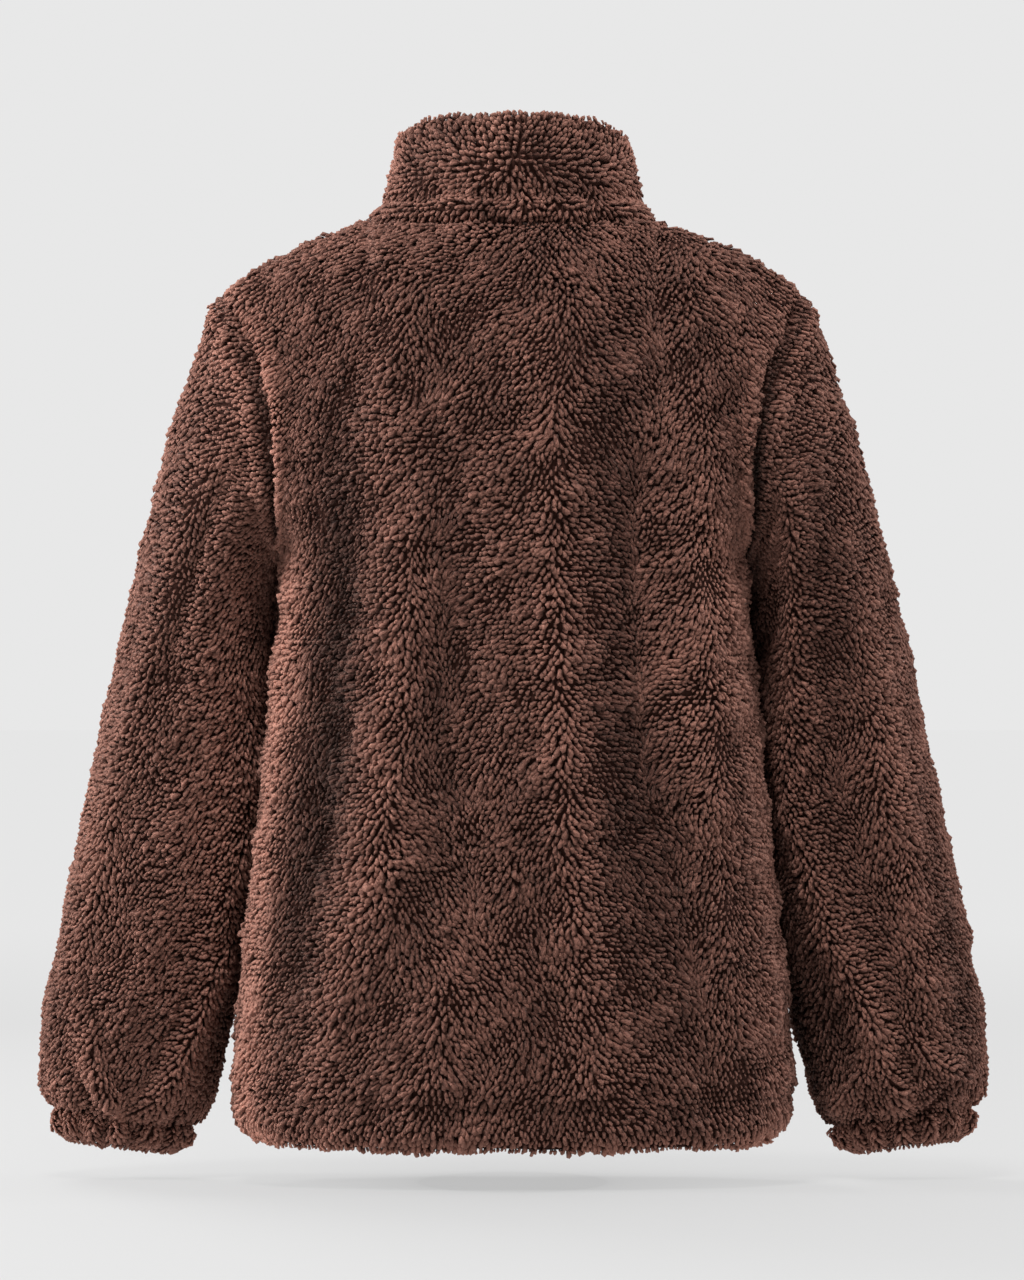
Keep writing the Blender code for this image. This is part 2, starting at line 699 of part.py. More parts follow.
def pull_mesh():
    """A pull tab round its pin: two arms beside the crown and a flat grip below. The pin's
    axis is X, through the origin."""
    bpy.ops.mesh.primitive_cylinder_add(
        vertices=12, radius=PIN_RADIUS, depth=2 * ARM_OUTER, rotation=(0, math.pi / 2, 0)
    )
    pin = bpy.context.object
    bpy.context.view_layer.update()
    pin.data.transform(pin.matrix_world)
    pin.matrix_world.identity()
    arms = []
    for sign in (-1, 1):
        edges = sorted((sign * ARM_INNER, sign * ARM_OUTER))
        arms.append(
            block(
                "arm",
                (edges[0], -PIN_RADIUS * 0.9, -ARM_LENGTH - 0.001),
                (edges[1], PIN_RADIUS * 0.9, PIN_RADIUS * 0.9),
            )
        )
    outline = [
        (-ARM_OUTER, -ARM_LENGTH),
        (ARM_OUTER, -ARM_LENGTH),
        (TAB_HALF_WIDTH, -ARM_LENGTH - 0.003),
    ]
    for step in range(7):
        angle = math.pi * step / 6
        outline.append(
            (
                TAB_HALF_WIDTH * math.cos(angle),
                -TAB_LENGTH + TAB_HALF_WIDTH - TAB_HALF_WIDTH * math.sin(angle),
            )
        )
    outline.append((-TAB_HALF_WIDTH, -ARM_LENGTH - 0.003))
    grip = outline_solid("grip", outline, PIN_RADIUS, "Y")
    return unite(pin, [*arms, grip])


def clear_scene():
    for old in list(bpy.data.objects):
        bpy.data.objects.remove(old)


def main():
    clear_scene()
    jacket = bpy.data.collections.new("fleece_jacket")
    bpy.context.scene.collection.children.link(jacket)
    pile = make_material("brown_pile", (0.150, 0.068, 0.053), 0.95)
    tape_cloth = make_material("brown_tape", (0.060, 0.030, 0.025), 0.85)
    coil = make_material("zip_coil", (0.040, 0.022, 0.018), 0.55)
    metal = make_material("dark_metal", (0.100, 0.085, 0.080), 0.35, 1.0)

    back = panel_grids(True, BACK_FOLDS)
    left = panel_grids(False, FRONT_FOLDS)
    right = panel_grids(False, FRONT_FOLDS, mirrored=True)
    plain_back = panel_grids(True, ())
    plain_front = panel_grids(False, ())
    half_gap = np.array([0, SEAM_GAP / 2, 0])
    wall_object("back", back[0] + half_gap, back[1] + half_gap, False, pile, jacket)
    wall_object("front_left", left[0] - half_gap, left[1] - half_gap, False, pile, jacket)
    wall_object("front_right", right[0] - half_gap, right[1] - half_gap, False, pile, jacket)

    armhole = armhole_loop(plain_back, plain_front)
    for name, folds, sign in (
        ("left", LEFT_SLEEVE_FOLDS, 1),
        ("right", RIGHT_SLEEVE_FOLDS, -1),
    ):
        flip = np.array([sign, 1, 1])
        outer, inner, axis = sleeve_grids(armhole, folds)
        wall_object(f"sleeve_{name}", outer * flip, inner * flip, True, pile, jacket)
        cuff = cuff_grids(outer, inner, axis, SLEEVE_ROWS[-1].middle_y)
        wall_object(f"cuff_{name}", cuff[0] * flip, cuff[1] * flip, True, pile, jacket)

    collar = collar_grids(neck_loop(back, left, right))
    wall_object("collar", collar[0], collar[1], False, pile, jacket)

    line = zip_line(left, collar)
    tape_far = TAPE_SETBACK + TAPE_THICKNESS
    for name, sign in (("left", 1), ("right", -1)):
        strip_object(
            f"zip_tape_{name}", line, ZIP_EDGE, TAPE_REACH, TAPE_SETBACK, tape_far, sign,
            tape_cloth, jacket,
        )
    middle = TAPE_SETBACK + TAPE_THICKNESS / 2
    centre = [centre_row(row) for row in line]
    top = point_beside(centre[-1], 0, middle)
    below = point_beside(centre[-2], 0, middle)
    upwards = unit(top - below)
    outwards = np.array([0, -upwards[2], upwards[1]])
    slider_place = top - upwards * SLIDER_BELOW_TOP
    hem = point_beside(centre[0], 0, middle)
    first_step = unit(point_beside(centre[1], 0, middle) - hem)

    chest_normal = centre[0][2]
    bottom_rows = [
        row_through(hem, chest_normal, middle),
        row_through(hem + first_step * BOX_LENGTH, chest_normal, middle),
    ]
    near = middle - CHAIN_HALF_THICKNESS
    far = middle + CHAIN_HALF_THICKNESS
    strip_object(
        "zip_box", bottom_rows, -CHAIN_HALF_WIDTH, CHAIN_HALF_WIDTH,
        near - BOX_OVER_CHAIN, far + BOX_OVER_CHAIN, 1, metal, jacket,
    )
    start = hem + first_step * (BOX_LENGTH + SEAM_GAP)
    chain_top = slider_place + upwards * CHAIN_TOP_IN_SLIDER
    last_height = slider_place[2] - CHAIN_LAST_ROW_BELOW
    chain_rows = [row_through(start, chest_normal, middle)]
    chain_rows += [row for row in centre[1:-1] if row[0][2] < last_height]
    chain_rows.append(row_through(chain_top, outwards, middle))
    strip_object(
        "zip_chain", chain_rows, -CHAIN_HALF_WIDTH, CHAIN_HALF_WIDTH, near, far, 1, coil, jacket,
    )

    lean = math.atan2(-upwards[1], upwards[2])
    slider = add_object("zip_slider", slider_mesh(), metal, jacket)
    slider.location = slider_place
    slider.rotation_euler = (lean, 0, 0)
    pull = add_object("zip_pull", pull_mesh(), metal, jacket)
    pull.location = slider_place + outwards * PIN_HEIGHT
    pull.rotation_euler = (lean, 0, 0)


main()
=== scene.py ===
# Pile fleece jacket seen from behind: cloth shells, curly pile made of joined locks, and a closed zip.
# Metres, +Z up, chest towards -Y, the wearer's left towards +X.
import math
import bpy
import numpy as np
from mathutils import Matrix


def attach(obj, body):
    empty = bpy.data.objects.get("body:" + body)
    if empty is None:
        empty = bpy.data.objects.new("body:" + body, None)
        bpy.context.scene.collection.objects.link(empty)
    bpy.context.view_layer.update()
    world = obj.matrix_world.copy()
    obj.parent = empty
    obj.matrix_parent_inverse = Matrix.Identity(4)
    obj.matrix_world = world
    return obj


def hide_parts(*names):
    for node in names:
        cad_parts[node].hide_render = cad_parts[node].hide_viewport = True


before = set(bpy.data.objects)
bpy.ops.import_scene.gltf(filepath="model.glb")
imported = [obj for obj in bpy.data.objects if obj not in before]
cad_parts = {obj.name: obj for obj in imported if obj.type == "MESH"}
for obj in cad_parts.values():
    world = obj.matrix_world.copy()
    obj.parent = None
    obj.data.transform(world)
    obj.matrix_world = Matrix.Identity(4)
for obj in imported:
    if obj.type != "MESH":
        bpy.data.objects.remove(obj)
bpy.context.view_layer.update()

print("frame loaded:", len(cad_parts), "nodes")


straightDown, depthAxis = np.array([0, 0, -1.0]), np.array([0, 1.0, 0])


def unit(vectors):
    # each vector divided by its length
    return vectors / np.maximum(np.linalg.norm(vectors, axis=-1, keepdims=True), 1e-12)


def dots(a, b):
    # dot product of each pair of vectors
    return (a * b).sum(axis=-1, keepdims=True)


def squareTo(vectors, axes):
    # each vector less its part along a unit axis, unit length
    return unit(vectors - axes * dots(vectors, axes))


def bell(distance, width):
    # 1 at no distance, 1/e at the width, and near 0 past twice the width
    return np.exp(-((distance / width) ** 2))


def turns(count):
    # angles of evenly spaced points on a circle
    return 2 * math.pi * np.arange(count) / count


def runningSum(steps):
    # sums of the first 0, 1, 2 and so on rows
    return np.concatenate([0 * steps[:1], np.cumsum(steps, axis=0)])


def rowDistance(points):
    # distance of each point from the grid's first row, along its column
    return runningSum(np.linalg.norm(np.diff(points, axis=0), axis=2))


def smoothCurve(stations, values, wanted):
    # cubic through the table's rows, each row's slope taken from its neighbours
    stations, values, wanted = (np.asarray(a, float) for a in (stations, values, wanted))
    slopes = np.gradient(values, stations, axis=0)
    index = np.clip(np.searchsorted(stations, wanted) - 1, 0, len(stations) - 2)
    span = stations[index + 1] - stations[index]
    t = (wanted - stations[index]) / span
    wide = (slice(None),) + (None,) * (values.ndim - 1)
    span, t = span[wide], t[wide]
    return (values[index] * (1 + 2 * t) * (1 - t) ** 2 + values[index + 1] * t**2 * (3 - 2 * t)
            + slopes[index] * span * t * (1 - t) ** 2 - slopes[index + 1] * span * t**2 * (1 - t))


def spread(rows, count, columns=slice(None)):
    # the table's rows again, count of them, evenly spaced along the named columns
    rows = np.asarray(rows, float)
    steps = np.diff(rows[:, columns] if rows.ndim == 2 else rows, axis=0)
    steps = np.sqrt((steps**2).reshape(len(steps), -1).sum(axis=1))
    along = runningSum(steps)
    return smoothCurve(along, rows, np.linspace(0, along[-1], count))


def ease(t):
    # smooth step from 0 to 1
    t = t.clip(0, 1)
    return t**2 * (3 - 2 * t)


def acrossSteps(grid, around, edgeOrder=1):
    # change of a grid from column to column; around joins its last column to its first
    if around:
        grid = np.concatenate([grid[:, -2:], grid, grid[:, :2]], axis=1)
        return np.gradient(grid, axis=1)[:, 2:-2]
    return np.gradient(grid, axis=1, edge_order=edgeOrder)


def gridNormals(points, around=False):
    # step to the next column crossed with step to the next row, unit length
    return unit(np.cross(acrossSteps(points, around, 2), np.gradient(points, axis=0, edge_order=2)))


def freshNormals(points, normals, around=False):
    # normals of a changed surface, on the same side as the old ones
    fresh = gridNormals(points, around)
    return fresh * np.sign(dots(fresh, normals))


def drift(place, size, seed):
    # slow wandering value from about -1 to 1: seven sine waves in random directions, each about size long
    rng = np.random.default_rng(seed)
    total = 0
    for step in range(7):
        wave = unit(rng.normal(size=3)) * 2 * math.pi / (size * rng.uniform(0.7, 1.5))
        total = total + np.sin(place @ wave + rng.uniform(0, 2 * math.pi))
    return total / 2.6


def wander(look, key, points, seed):
    # slow change over a piece of its pile's size, lean or tone: how much, times a drift of a given size
    amount, size = look["wander"][key]
    return amount * drift(points, size, seed + 2 + ["size", "lean", "tone"].index(key))


def unevenness(look, places, seed):
    # slow and quicker bumps: how high each is, times a drift of its size
    return sum(height * drift(places, size, seed + 5 * k) for k, (height, size) in enumerate(look["bumps"]))


cut = {
    "roundness": 2.4,  # power of the body's superellipse section
    "hem": -0.667, "hemRise": 0.010, "underarm": -0.241,
    "neckHalfWidth": 0.104, "neckBehind": 0.062, "neckInFront": 0.100, "neckDrop": 0.070,
    "frontEdge": 0.009, "shoulderFall": 0.030, "shoulderCurl": 0.0185,
    "domePower": 2.7, "neckStop": math.radians(60),
    "wall": 0.006,
}
bodyRows = np.array([  # height, half width, depth behind, depth in front
    (-0.667, 0.1950, 0.131, 0.133),
    (-0.640, 0.2010, 0.136, 0.138),
    (-0.586, 0.1995, 0.136, 0.139),
    (-0.528, 0.1940, 0.134, 0.137),
    (-0.463, 0.1870, 0.131, 0.134),
    (-0.405, 0.1810, 0.129, 0.131),
    (-0.347, 0.1740, 0.127, 0.129),
    (-0.289, 0.1690, 0.126, 0.128),
    (-0.241, 0.1660, 0.125, 0.127),
])
armholeRows = np.array([  # height, half width, reach behind, reach in front
    (-0.2410, 0.1660, 0.000, 0.000),
    (-0.2340, 0.1662, 0.030, 0.032),
    (-0.2180, 0.1668, 0.049, 0.053),
    (-0.1920, 0.1685, 0.061, 0.066),
    (-0.1480, 0.1740, 0.066, 0.070),
    (-0.1140, 0.1805, 0.061, 0.065),
    (-0.0840, 0.1930, 0.044, 0.047),
    (-0.0600, 0.2040, 0.021, 0.022),
    (-0.0500, 0.2070, 0.000, 0.000),
])
backFolds = [  # top x, top z, foot x, foot z, half width, rise
    (0.067, -0.170, 0.154, -0.650, 0.022, 0.0052),
    (0.122, -0.080, 0.162, -0.640, 0.018, -0.0064),
    (0.046, -0.200, 0.062, -0.470, 0.019, -0.0036),
    (-0.026, -0.140, -0.056, -0.560, 0.021, 0.0048),
    (-0.080, -0.100, -0.120, -0.560, 0.017, -0.0046),
    (-0.124, -0.090, -0.172, -0.640, 0.020, 0.0048),
    (0.008, -0.110, 0.014, -0.560, 0.022, 0.0024),
    (0.040, -0.470, 0.066, -0.660, 0.020, 0.0040),
    (-0.052, -0.470, -0.078, -0.665, 0.022, 0.0036),
]
frontFolds = [
    (0.105, -0.150, 0.140, -0.600, 0.024, 0.0050),
    (0.050, -0.330, 0.078, -0.660, 0.021, 0.0040),
    (-0.096, -0.170, -0.146, -0.560, 0.023, 0.0050),
    (-0.056, -0.300, -0.070, -0.650, 0.020, 0.0045),
]


def domeCurve(stop, steps):
    # shares of height gained and depth kept along a quarter superellipse, in even steps
    angle = np.linspace(0, stop, 400)
    height, depth = np.sin(angle) ** (2 / cut["domePower"]), np.cos(angle) ** (2 / cut["domePower"])
    rise, kept = height / height[-1], (depth - depth[-1]) / (1 - depth[-1])
    along = runningSum(np.hypot(np.diff(2 * rise), np.diff(kept)))
    even = np.linspace(0, along[-1], steps + 1)
    return np.interp(even, along, rise)[:, None], np.interp(even, along, kept)[:, None]


def bodyPanel(share, back, lowerSteps, upperSteps):
    # superellipse rings up to the underarm, then rows that roll over to the shoulder and the neck
    reach = np.abs(share)
    turn = (math.pi / 2) * (1 - reach)
    ringX, ringY = (f(turn).clip(0) ** (2 / cut["roundness"]) for f in (np.cos, np.sin))
    z = np.linspace(cut["hem"], cut["underarm"], lowerSteps + 1)
    sizes = smoothCurve(bodyRows[:, 0], bodyRows, z)
    halfWidth, depth = sizes[:, 1:2], sizes[:, 2:3] if back else sizes[:, 3:4]
    aboveHem = (z[:, None] - cut["hem"]) / (cut["underarm"] - cut["hem"])
    hemLift = cut["hemRise"] * (1 - aboveHem) ** 4 * reach**3
    lower = np.stack([halfWidth * ringX, depth * ringY, z[:, None] + hemLift], axis=-1)

    angle = math.pi * np.minimum(reach, 0.5)
    down = (reach - 0.5).clip(0) / 0.5
    tipX = armholeRows[-1, 1]
    topX = np.where(reach <= 0.5, cut["neckHalfWidth"] * np.sin(angle),
                    cut["neckHalfWidth"] + (tipX - cut["neckHalfWidth"]) * down)
    level = np.cos(angle).clip(0)
    topY = (cut["neckBehind"] if back else cut["neckInFront"]) * level
    topZ = -0.0015 - (0 if back else cut["neckDrop"]) * level**1.5
    topZ = topZ - cut["shoulderFall"] * down - cut["shoulderCurl"] * down**3
    edge = spread(armholeRows[:, [1, 2 if back else 3, 0]], upperSteps + 1)
    levelRise, levelKept = domeCurve(math.pi / 2, upperSteps)
    neckRise, neckKept = domeCurve(cut["neckStop"], upperSteps)
    rise = levelRise * (1 - level**2) + neckRise * level**2
    kept = levelKept * (1 - level**2) + neckKept * level**2
    toTop = ease(np.linspace(0, 1, upperSteps + 1)[:, None])
    x = edge[:, :1] * ((1 - toTop) * ringX + toTop * topX / tipX)
    y = topY + (depth[-1] * ringY - topY) * kept
    zUp = cut["underarm"] + (topZ - cut["underarm"]) * rise
    y = y + (edge[:, 1:2] - y[:, -1:]) * reach**3
    zUp = zUp + (edge[:, 2:3] - zUp[:, -1:]) * reach**3
    points = np.concatenate([lower, np.stack([x, y, zUp], axis=-1)[1:]])
    if not back:
        widest = points[:, -1:, 0]
        points[..., 0] = cut["frontEdge"] + points[..., 0] * (widest - cut["frontEdge"]) / widest
    points[..., 0] *= np.where(share < 0, -1, 1)
    points[..., 1] *= 1 if back else -1
    return points


def bodyNormals(points, share, back, lowerSteps):
    # unit normals that lie in the plane of each straight seam, so that neighbours can share them
    normals = gridNormals(points)
    if normals[lowerSteps // 2, :, 1].mean() * (1 if back else -1) < 0:
        normals = -normals
    for column in ([0, -1] if share[0] < 0 else [-1]):
        beside = normals[lowerSteps:, 1 if column == 0 else -2]
        normals[lowerSteps:, column] = unit(beside + np.array([np.sign(share[column]), 0, 0]))
        normals[: lowerSteps + 1, column, 1] = 0
    normals[-1, np.abs(share) >= 0.5, 1] = 0
    if not back:
        normals[:, 0, 0] = 0
    return unit(normals)


def foldHeight(folds, x, z):
    # ridges that run from a top to a foot, bell-shaped across and fading at both ends
    total = np.zeros_like(x)
    for topX, topZ, footX, footZ, halfWidth, rise in folds:
        t = np.clip((topZ - z) / (topZ - footZ), 0, 1)
        line = topX + (footX - topX) * t**2
        total += rise * np.exp(-(((x - line) / halfWidth) ** 2)) * np.sin(math.pi * t) ** 0.7
    return total


pile = {
    "spacing": 0.00417,  # between locks
    "length": 0.0063, "halfWidth": 0.00184, "halfThickness": 0.00145, "roll": 0.34,  # roll in radians, about the spine
    "bed": 0.0021,  # the cloth lies this far under the pile's surface
    "backing": 0.0010,  # the thinnest that the cloth gets below a trough
    "sink": 0.0014,  # how far that surface lies inside the solid's, so that the locks end near it
    "jitter": 0.25,  # share of the spacing that a lock may stand off its place
    "brush": 3.0,  # how strongly the locks turn away from a ridge
    "swirl": 0.30,  # wandering of their direction, in radians
    "toneByHeight": 230, "sizeByHeight": 45, "leanByHeight": 110,  # paler as painted light, longer and steeper on a ridge; darker as painted shade in a trough
}
backPaintedShading = [  # painted shade and painted light, bands of darker or paler pile: top x, top z, foot x, foot z, half width, tone
    (0.122, -0.080, 0.160, -0.620, 0.017, -0.7), (-0.098, -0.190, -0.094, -0.370, 0.016, 1.1),
    (-0.138, -0.170, -0.142, -0.300, 0.016, 0.8), (0.000, -0.480, -0.010, -0.640, 0.050, 0.5),
    (0.116, -0.150, 0.126, -0.500, 0.026, -1.0), (-0.112, -0.290, -0.118, -0.410, 0.022, 1.2),
    (-0.160, -0.190, -0.166, -0.320, 0.018, 0.8), (-0.068, -0.290, -0.074, -0.570, 0.020, -0.9),
    (-0.022, -0.050, -0.024, -0.180, 0.024, 0.9), (0.163, -0.360, 0.168, -0.560, 0.022, -0.8),
    (-0.160, -0.350, -0.165, -0.530, 0.020, -0.8),
]
backRidges = [  # lines that the pile parts along: top x, top z, foot x, foot z, half width, rise
    (-0.028, -0.130, -0.063, -0.640, 0.020, 0.0030),
    (-0.146, -0.110, -0.161, -0.520, 0.016, 0.0022),
    (0.078, -0.050, 0.147, -0.620, 0.022, 0.0022),
    (0.006, -0.120, 0.009, -0.540, 0.020, 0.0016),
    (0.086, -0.400, 0.093, -0.535, 0.014, 0.0018),
    (0.160, -0.150, 0.186, -0.600, 0.012, 0.0022),
    (-0.170, -0.170, -0.186, -0.600, 0.012, 0.0018),
]
backLay = [  # bands that the pile lies sideways in: top x, top z, foot x, foot z, half width, slant towards +X
    (0.122, -0.009, 0.154, -0.651, 0.045, 1.25),
    (0.035, -0.013, 0.049, -0.390, 0.042, 1.05),
    (-0.005, -0.151, -0.009, -0.492, 0.025, 1.10),
    (-0.063, -0.151, -0.063, -0.492, 0.026, -1.35),
    (-0.118, -0.129, -0.115, -0.397, 0.022, 1.15),
    (-0.166, -0.129, -0.183, -0.629, 0.020, -1.25),
    (-0.085, -0.441, -0.099, -0.658, 0.035, -1.30),
    (0.053, -0.412, 0.060, -0.535, 0.026, -1.20),
    (-0.023, -0.495, -0.027, -0.571, 0.022, -0.90),
    (0.028, -0.553, 0.031, -0.597, 0.019, -0.90),
    (0.006, -0.593, 0.009, -0.658, 0.029, 0.50),
    (-0.140, -0.477, -0.152, -0.608, 0.012, 0.80),
    (-0.078, -0.024, -0.081, -0.129, 0.025, -1.10),
    (-0.163, -0.060, -0.161, -0.129, 0.028, -1.10),
    (-0.110, -0.013, -0.115, -0.093, 0.019, 0.90),
    (0.082, -0.060, 0.067, -0.089, 0.022, -0.80),
    (0.060, -0.267, 0.053, -0.303, 0.013, -0.90),
    (0.035, -0.332, 0.024, -0.357, 0.019, -1.00),
    (0.111, -0.194, 0.107, -0.231, 0.012, -0.80),
    (0.141, -0.401, 0.146, -0.430, 0.012, -0.60),
    (0.093, -0.513, 0.100, -0.658, 0.025, 1.00),
]
frontRidges = [
    (0.105, -0.120, 0.142, -0.640, 0.020, 0.0026),
    (0.050, -0.300, 0.068, -0.680, 0.018, 0.0026),
    (0.060, -0.100, 0.052, -0.320, 0.018, 0.0020),
    (0.155, -0.150, 0.168, -0.600, 0.014, 0.0022),
]
frontLay = [  # the same for a front, slant away from the zip
    (0.028, -0.080, 0.032, -0.650, 0.022, 1.10),
    (0.078, -0.120, 0.090, -0.400, 0.020, -1.00),
    (0.130, -0.060, 0.165, -0.650, 0.034, 1.30),
    (0.086, -0.450, 0.100, -0.660, 0.020, -0.90),
    (0.052, -0.240, 0.060, -0.330, 0.016, -0.70),
]


def layOf(bands, x, z):
    # weighted mean of the bands' slants; each band is bell-shaped across and fades past its ends
    total, weight = np.zeros_like(x), np.full_like(x, 0.30)
    for topX, topZ, footX, footZ, halfWidth, slant in bands:
        t = np.clip((topZ - z) / (topZ - footZ), 0, 1)
        past = np.maximum(z - topZ, footZ - z).clip(0)
        share = np.exp(-(((x - topX - (footX - topX) * t) / halfWidth) ** 2) - (past / 0.018) ** 2)
        total += share * slant
        weight += share
    return total / weight


def tubeLayOf(bands, share, around):
    # the same on a tube: start, end, from angle, to angle, half angle, slant towards growing angle
    total = np.zeros(np.broadcast(share, around).shape)
    weight = total + 0.30
    for start, end, fromAngle, toAngle, halfAngle, slant in bands:
        t = np.clip((share - start) / (end - start), 0, 1)
        past = np.maximum(start - share, share - end).clip(0)
        apart = (around - 180 + fromAngle + (toAngle - fromAngle) * t + 180) % 360 - 180
        part = np.exp(-((apart / halfAngle) ** 2) - (past / 0.035) ** 2)
        total += part * slant
        weight += part
    return total / weight


def slopes(points, height, around=False):
    # the uphill direction of a height given on a grid: the tangent vector g with g.dCol = hCol and g.dRow = hRow
    dCol, hCol = acrossSteps(points, around), acrossSteps(height, around)
    dRow, hRow = np.gradient(points, axis=0), np.gradient(height, axis=0)
    a, b, c = dots(dCol, dCol)[..., 0], dots(dCol, dRow)[..., 0], dots(dRow, dRow)[..., 0]
    det = np.maximum(a * c - b * b, 1e-16)
    p, q = (hCol * c - hRow * b) / det, (hRow * a - hCol * b) / det
    return dCol * p[..., None] + dRow * q[..., None]


def pileField(points, normals, ridges, lay, down, aside, seed, around=False):
    # direction of the pile: down the cloth and aside by its lay, away from the ridges, with slow swirls
    uphill = slopes(points, ridges, around)
    down, aside = squareTo(down, normals), squareTo(aside, normals)
    flow = squareTo(down + aside * lay[..., None] - uphill * pile["brush"], normals)
    side = np.cross(normals, flow)
    angle = pile["swirl"] * (0.65 * drift(points, 0.060, seed) + 0.55 * drift(points, 0.024, seed + 1))
    return flow * np.cos(angle)[..., None] + side * np.sin(angle)[..., None]


def sample(grid, row, column, around):
    # values of a grid between its points, by the two nearest rows and columns
    r0 = np.clip(row.astype(int), 0, grid.shape[0] - 2)
    c0 = column.astype(int) if around else np.clip(column.astype(int), 0, grid.shape[1] - 2)
    r, c = row - r0, column - c0
    if grid.ndim == 3:
        r, c = r[:, None], c[:, None]
    c0, c1 = c0 % grid.shape[1], (c0 + 1) % grid.shape[1]
    return ((grid[r0, c0] * (1 - c) + grid[r0, c1] * c) * (1 - r)
            + (grid[r0 + 1, c0] * (1 - c) + grid[r0 + 1, c1] * c) * r)


def lattice(points, around, spacing, dense, rng):
    # staggered rows of places, evenly spaced along a grid and closer across it where dense is above 1
    closed = np.concatenate([points, points[:, :1]], axis=1) if around else points
    across = np.linalg.norm(np.diff(closed, axis=1), axis=2) * dense
    along = np.linalg.norm(np.diff(points, axis=0), axis=2).mean(axis=1)
    station = runningSum(along)
    lengths = across.sum(axis=1)
    shares = np.concatenate([np.zeros((len(points), 1)), np.cumsum(across, axis=1)], axis=1)
    shares = shares / shares[:, -1:]
    even = np.linspace(0, 1, 200)
    columns = np.array([np.interp(even, line, np.arange(len(line))) for line in shares])
    rowCount = max(int(round(station[-1] / (spacing * 0.88))), 2)
    at = (np.arange(rowCount) + 0.5) / rowCount * station[-1]
    rowAt = np.interp(at, station, np.arange(len(station)))
    counts = np.maximum(np.interp(rowAt, np.arange(len(lengths)), lengths) / spacing, 3).round().astype(int)
    row = np.repeat(np.arange(rowCount), counts)
    index = np.arange(counts.sum()) - np.repeat(np.cumsum(counts) - counts, counts)
    share = (index + 0.25 + 0.5 * (row % 2) + rng.uniform(-1, 1, len(row)) * pile["jitter"]) / counts[row]
    share = share % 1 if around else share.clip(0, 1)
    gridRow = rowAt[row] + rng.uniform(-1, 1, len(row)) * pile["jitter"] * (len(station) - 1) / rowCount
    gridRow = gridRow.clip(0, len(points) - 1.001)
    column = sample(columns, gridRow, share * (len(even) - 1), False)
    return gridRow, column


def link(name, data):
    # an object made from the data and put in the scene
    thing = bpy.data.objects.new(name, data)
    bpy.context.scene.collection.objects.link(thing)
    return thing


def putMesh(name, places, corners, sizes, body="jacket"):
    # a smooth mesh that rides on a body, from points, the corners of all faces in turn and each face's count of them
    mesh = bpy.data.meshes.new(name)
    mesh.vertices.add(len(places))
    mesh.vertices.foreach_set("co", np.ascontiguousarray(places, np.float32).ravel())
    mesh.loops.add(len(corners))
    mesh.loops.foreach_set("vertex_index", np.ascontiguousarray(corners, np.int32))
    starts = np.concatenate([[0], np.cumsum(sizes)[:-1]])
    mesh.polygons.add(len(sizes))
    mesh.polygons.foreach_set("loop_start", starts.astype(np.int32))
    mesh.polygons.foreach_set("loop_total", np.asarray(sizes, np.int32))
    mesh.polygons.foreach_set("use_smooth", np.full(len(sizes), True))
    mesh.update()
    mesh.validate()
    piece = link(name, mesh)
    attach(piece, body)
    return piece


def addValues(piece, name, kind, values):
    # a number or vector for each point, for the materials
    layer = piece.data.attributes.new(name, kind, "POINT")
    key = "value" if kind == "FLOAT" else "vector"
    layer.data.foreach_set(key, np.ascontiguousarray(values, np.float32).ravel())


# One lock: a root point, two rings of three points and a tip, along a spine that bends over.
lockSpine = {
    "forward": np.array([-0.08, 0.20, 0.80, 1.00]),
    "height": np.array([-0.16, 0.14, 0.17, 0.02]),
    "width": np.array([0.0, 0.95, 0.98, 0.0]),
    "thickness": np.array([0.0, 1.0, 0.95, 0.0]),
    "curl": np.array([0.0, 0.12, -0.03, -0.16]),
}
lockSection = [(0.0, 1.0), (1.0, -0.5), (-1.0, -0.5)]  # across and above, from the ridge round to the left
lockCorners = np.array(
    [c for k in range(3) for c in (0, 1 + k, 1 + (k + 1) % 3)]
    + [c for k in range(3) for c in (1 + k, 4 + k, 4 + (k + 1) % 3, 1 + (k + 1) % 3)]
    + [c for k in range(3) for c in (7, 4 + (k + 1) % 3, 4 + k)])
lockSizes = np.array([3] * 3 + [4] * 3 + [3] * 3)
lockUv = np.array(  # one strip of the cell for each side, from root to tip
    [p for k in range(3) for p in ((k + 0.5, 0.0), (k, 0.9), (k + 1, 0.9))]
    + [p for k in range(3) for p in ((k, 0.9), (k, 2.3), (k + 1, 2.3), (k + 1, 0.9))]
    + [p for k in range(3) for p in ((k + 0.5, 3.0), (k + 1, 2.3), (k, 2.3))]) / 3
# painted light and shade on each lock's points: 0 at the root, more on the top ridge than on the sides, highest on the
# outer ring's ridge
lockPaintedRootToTip = np.array([0.0, 0.62, 0.26, 0.26, 1.0, 0.66, 0.66, 0.90])


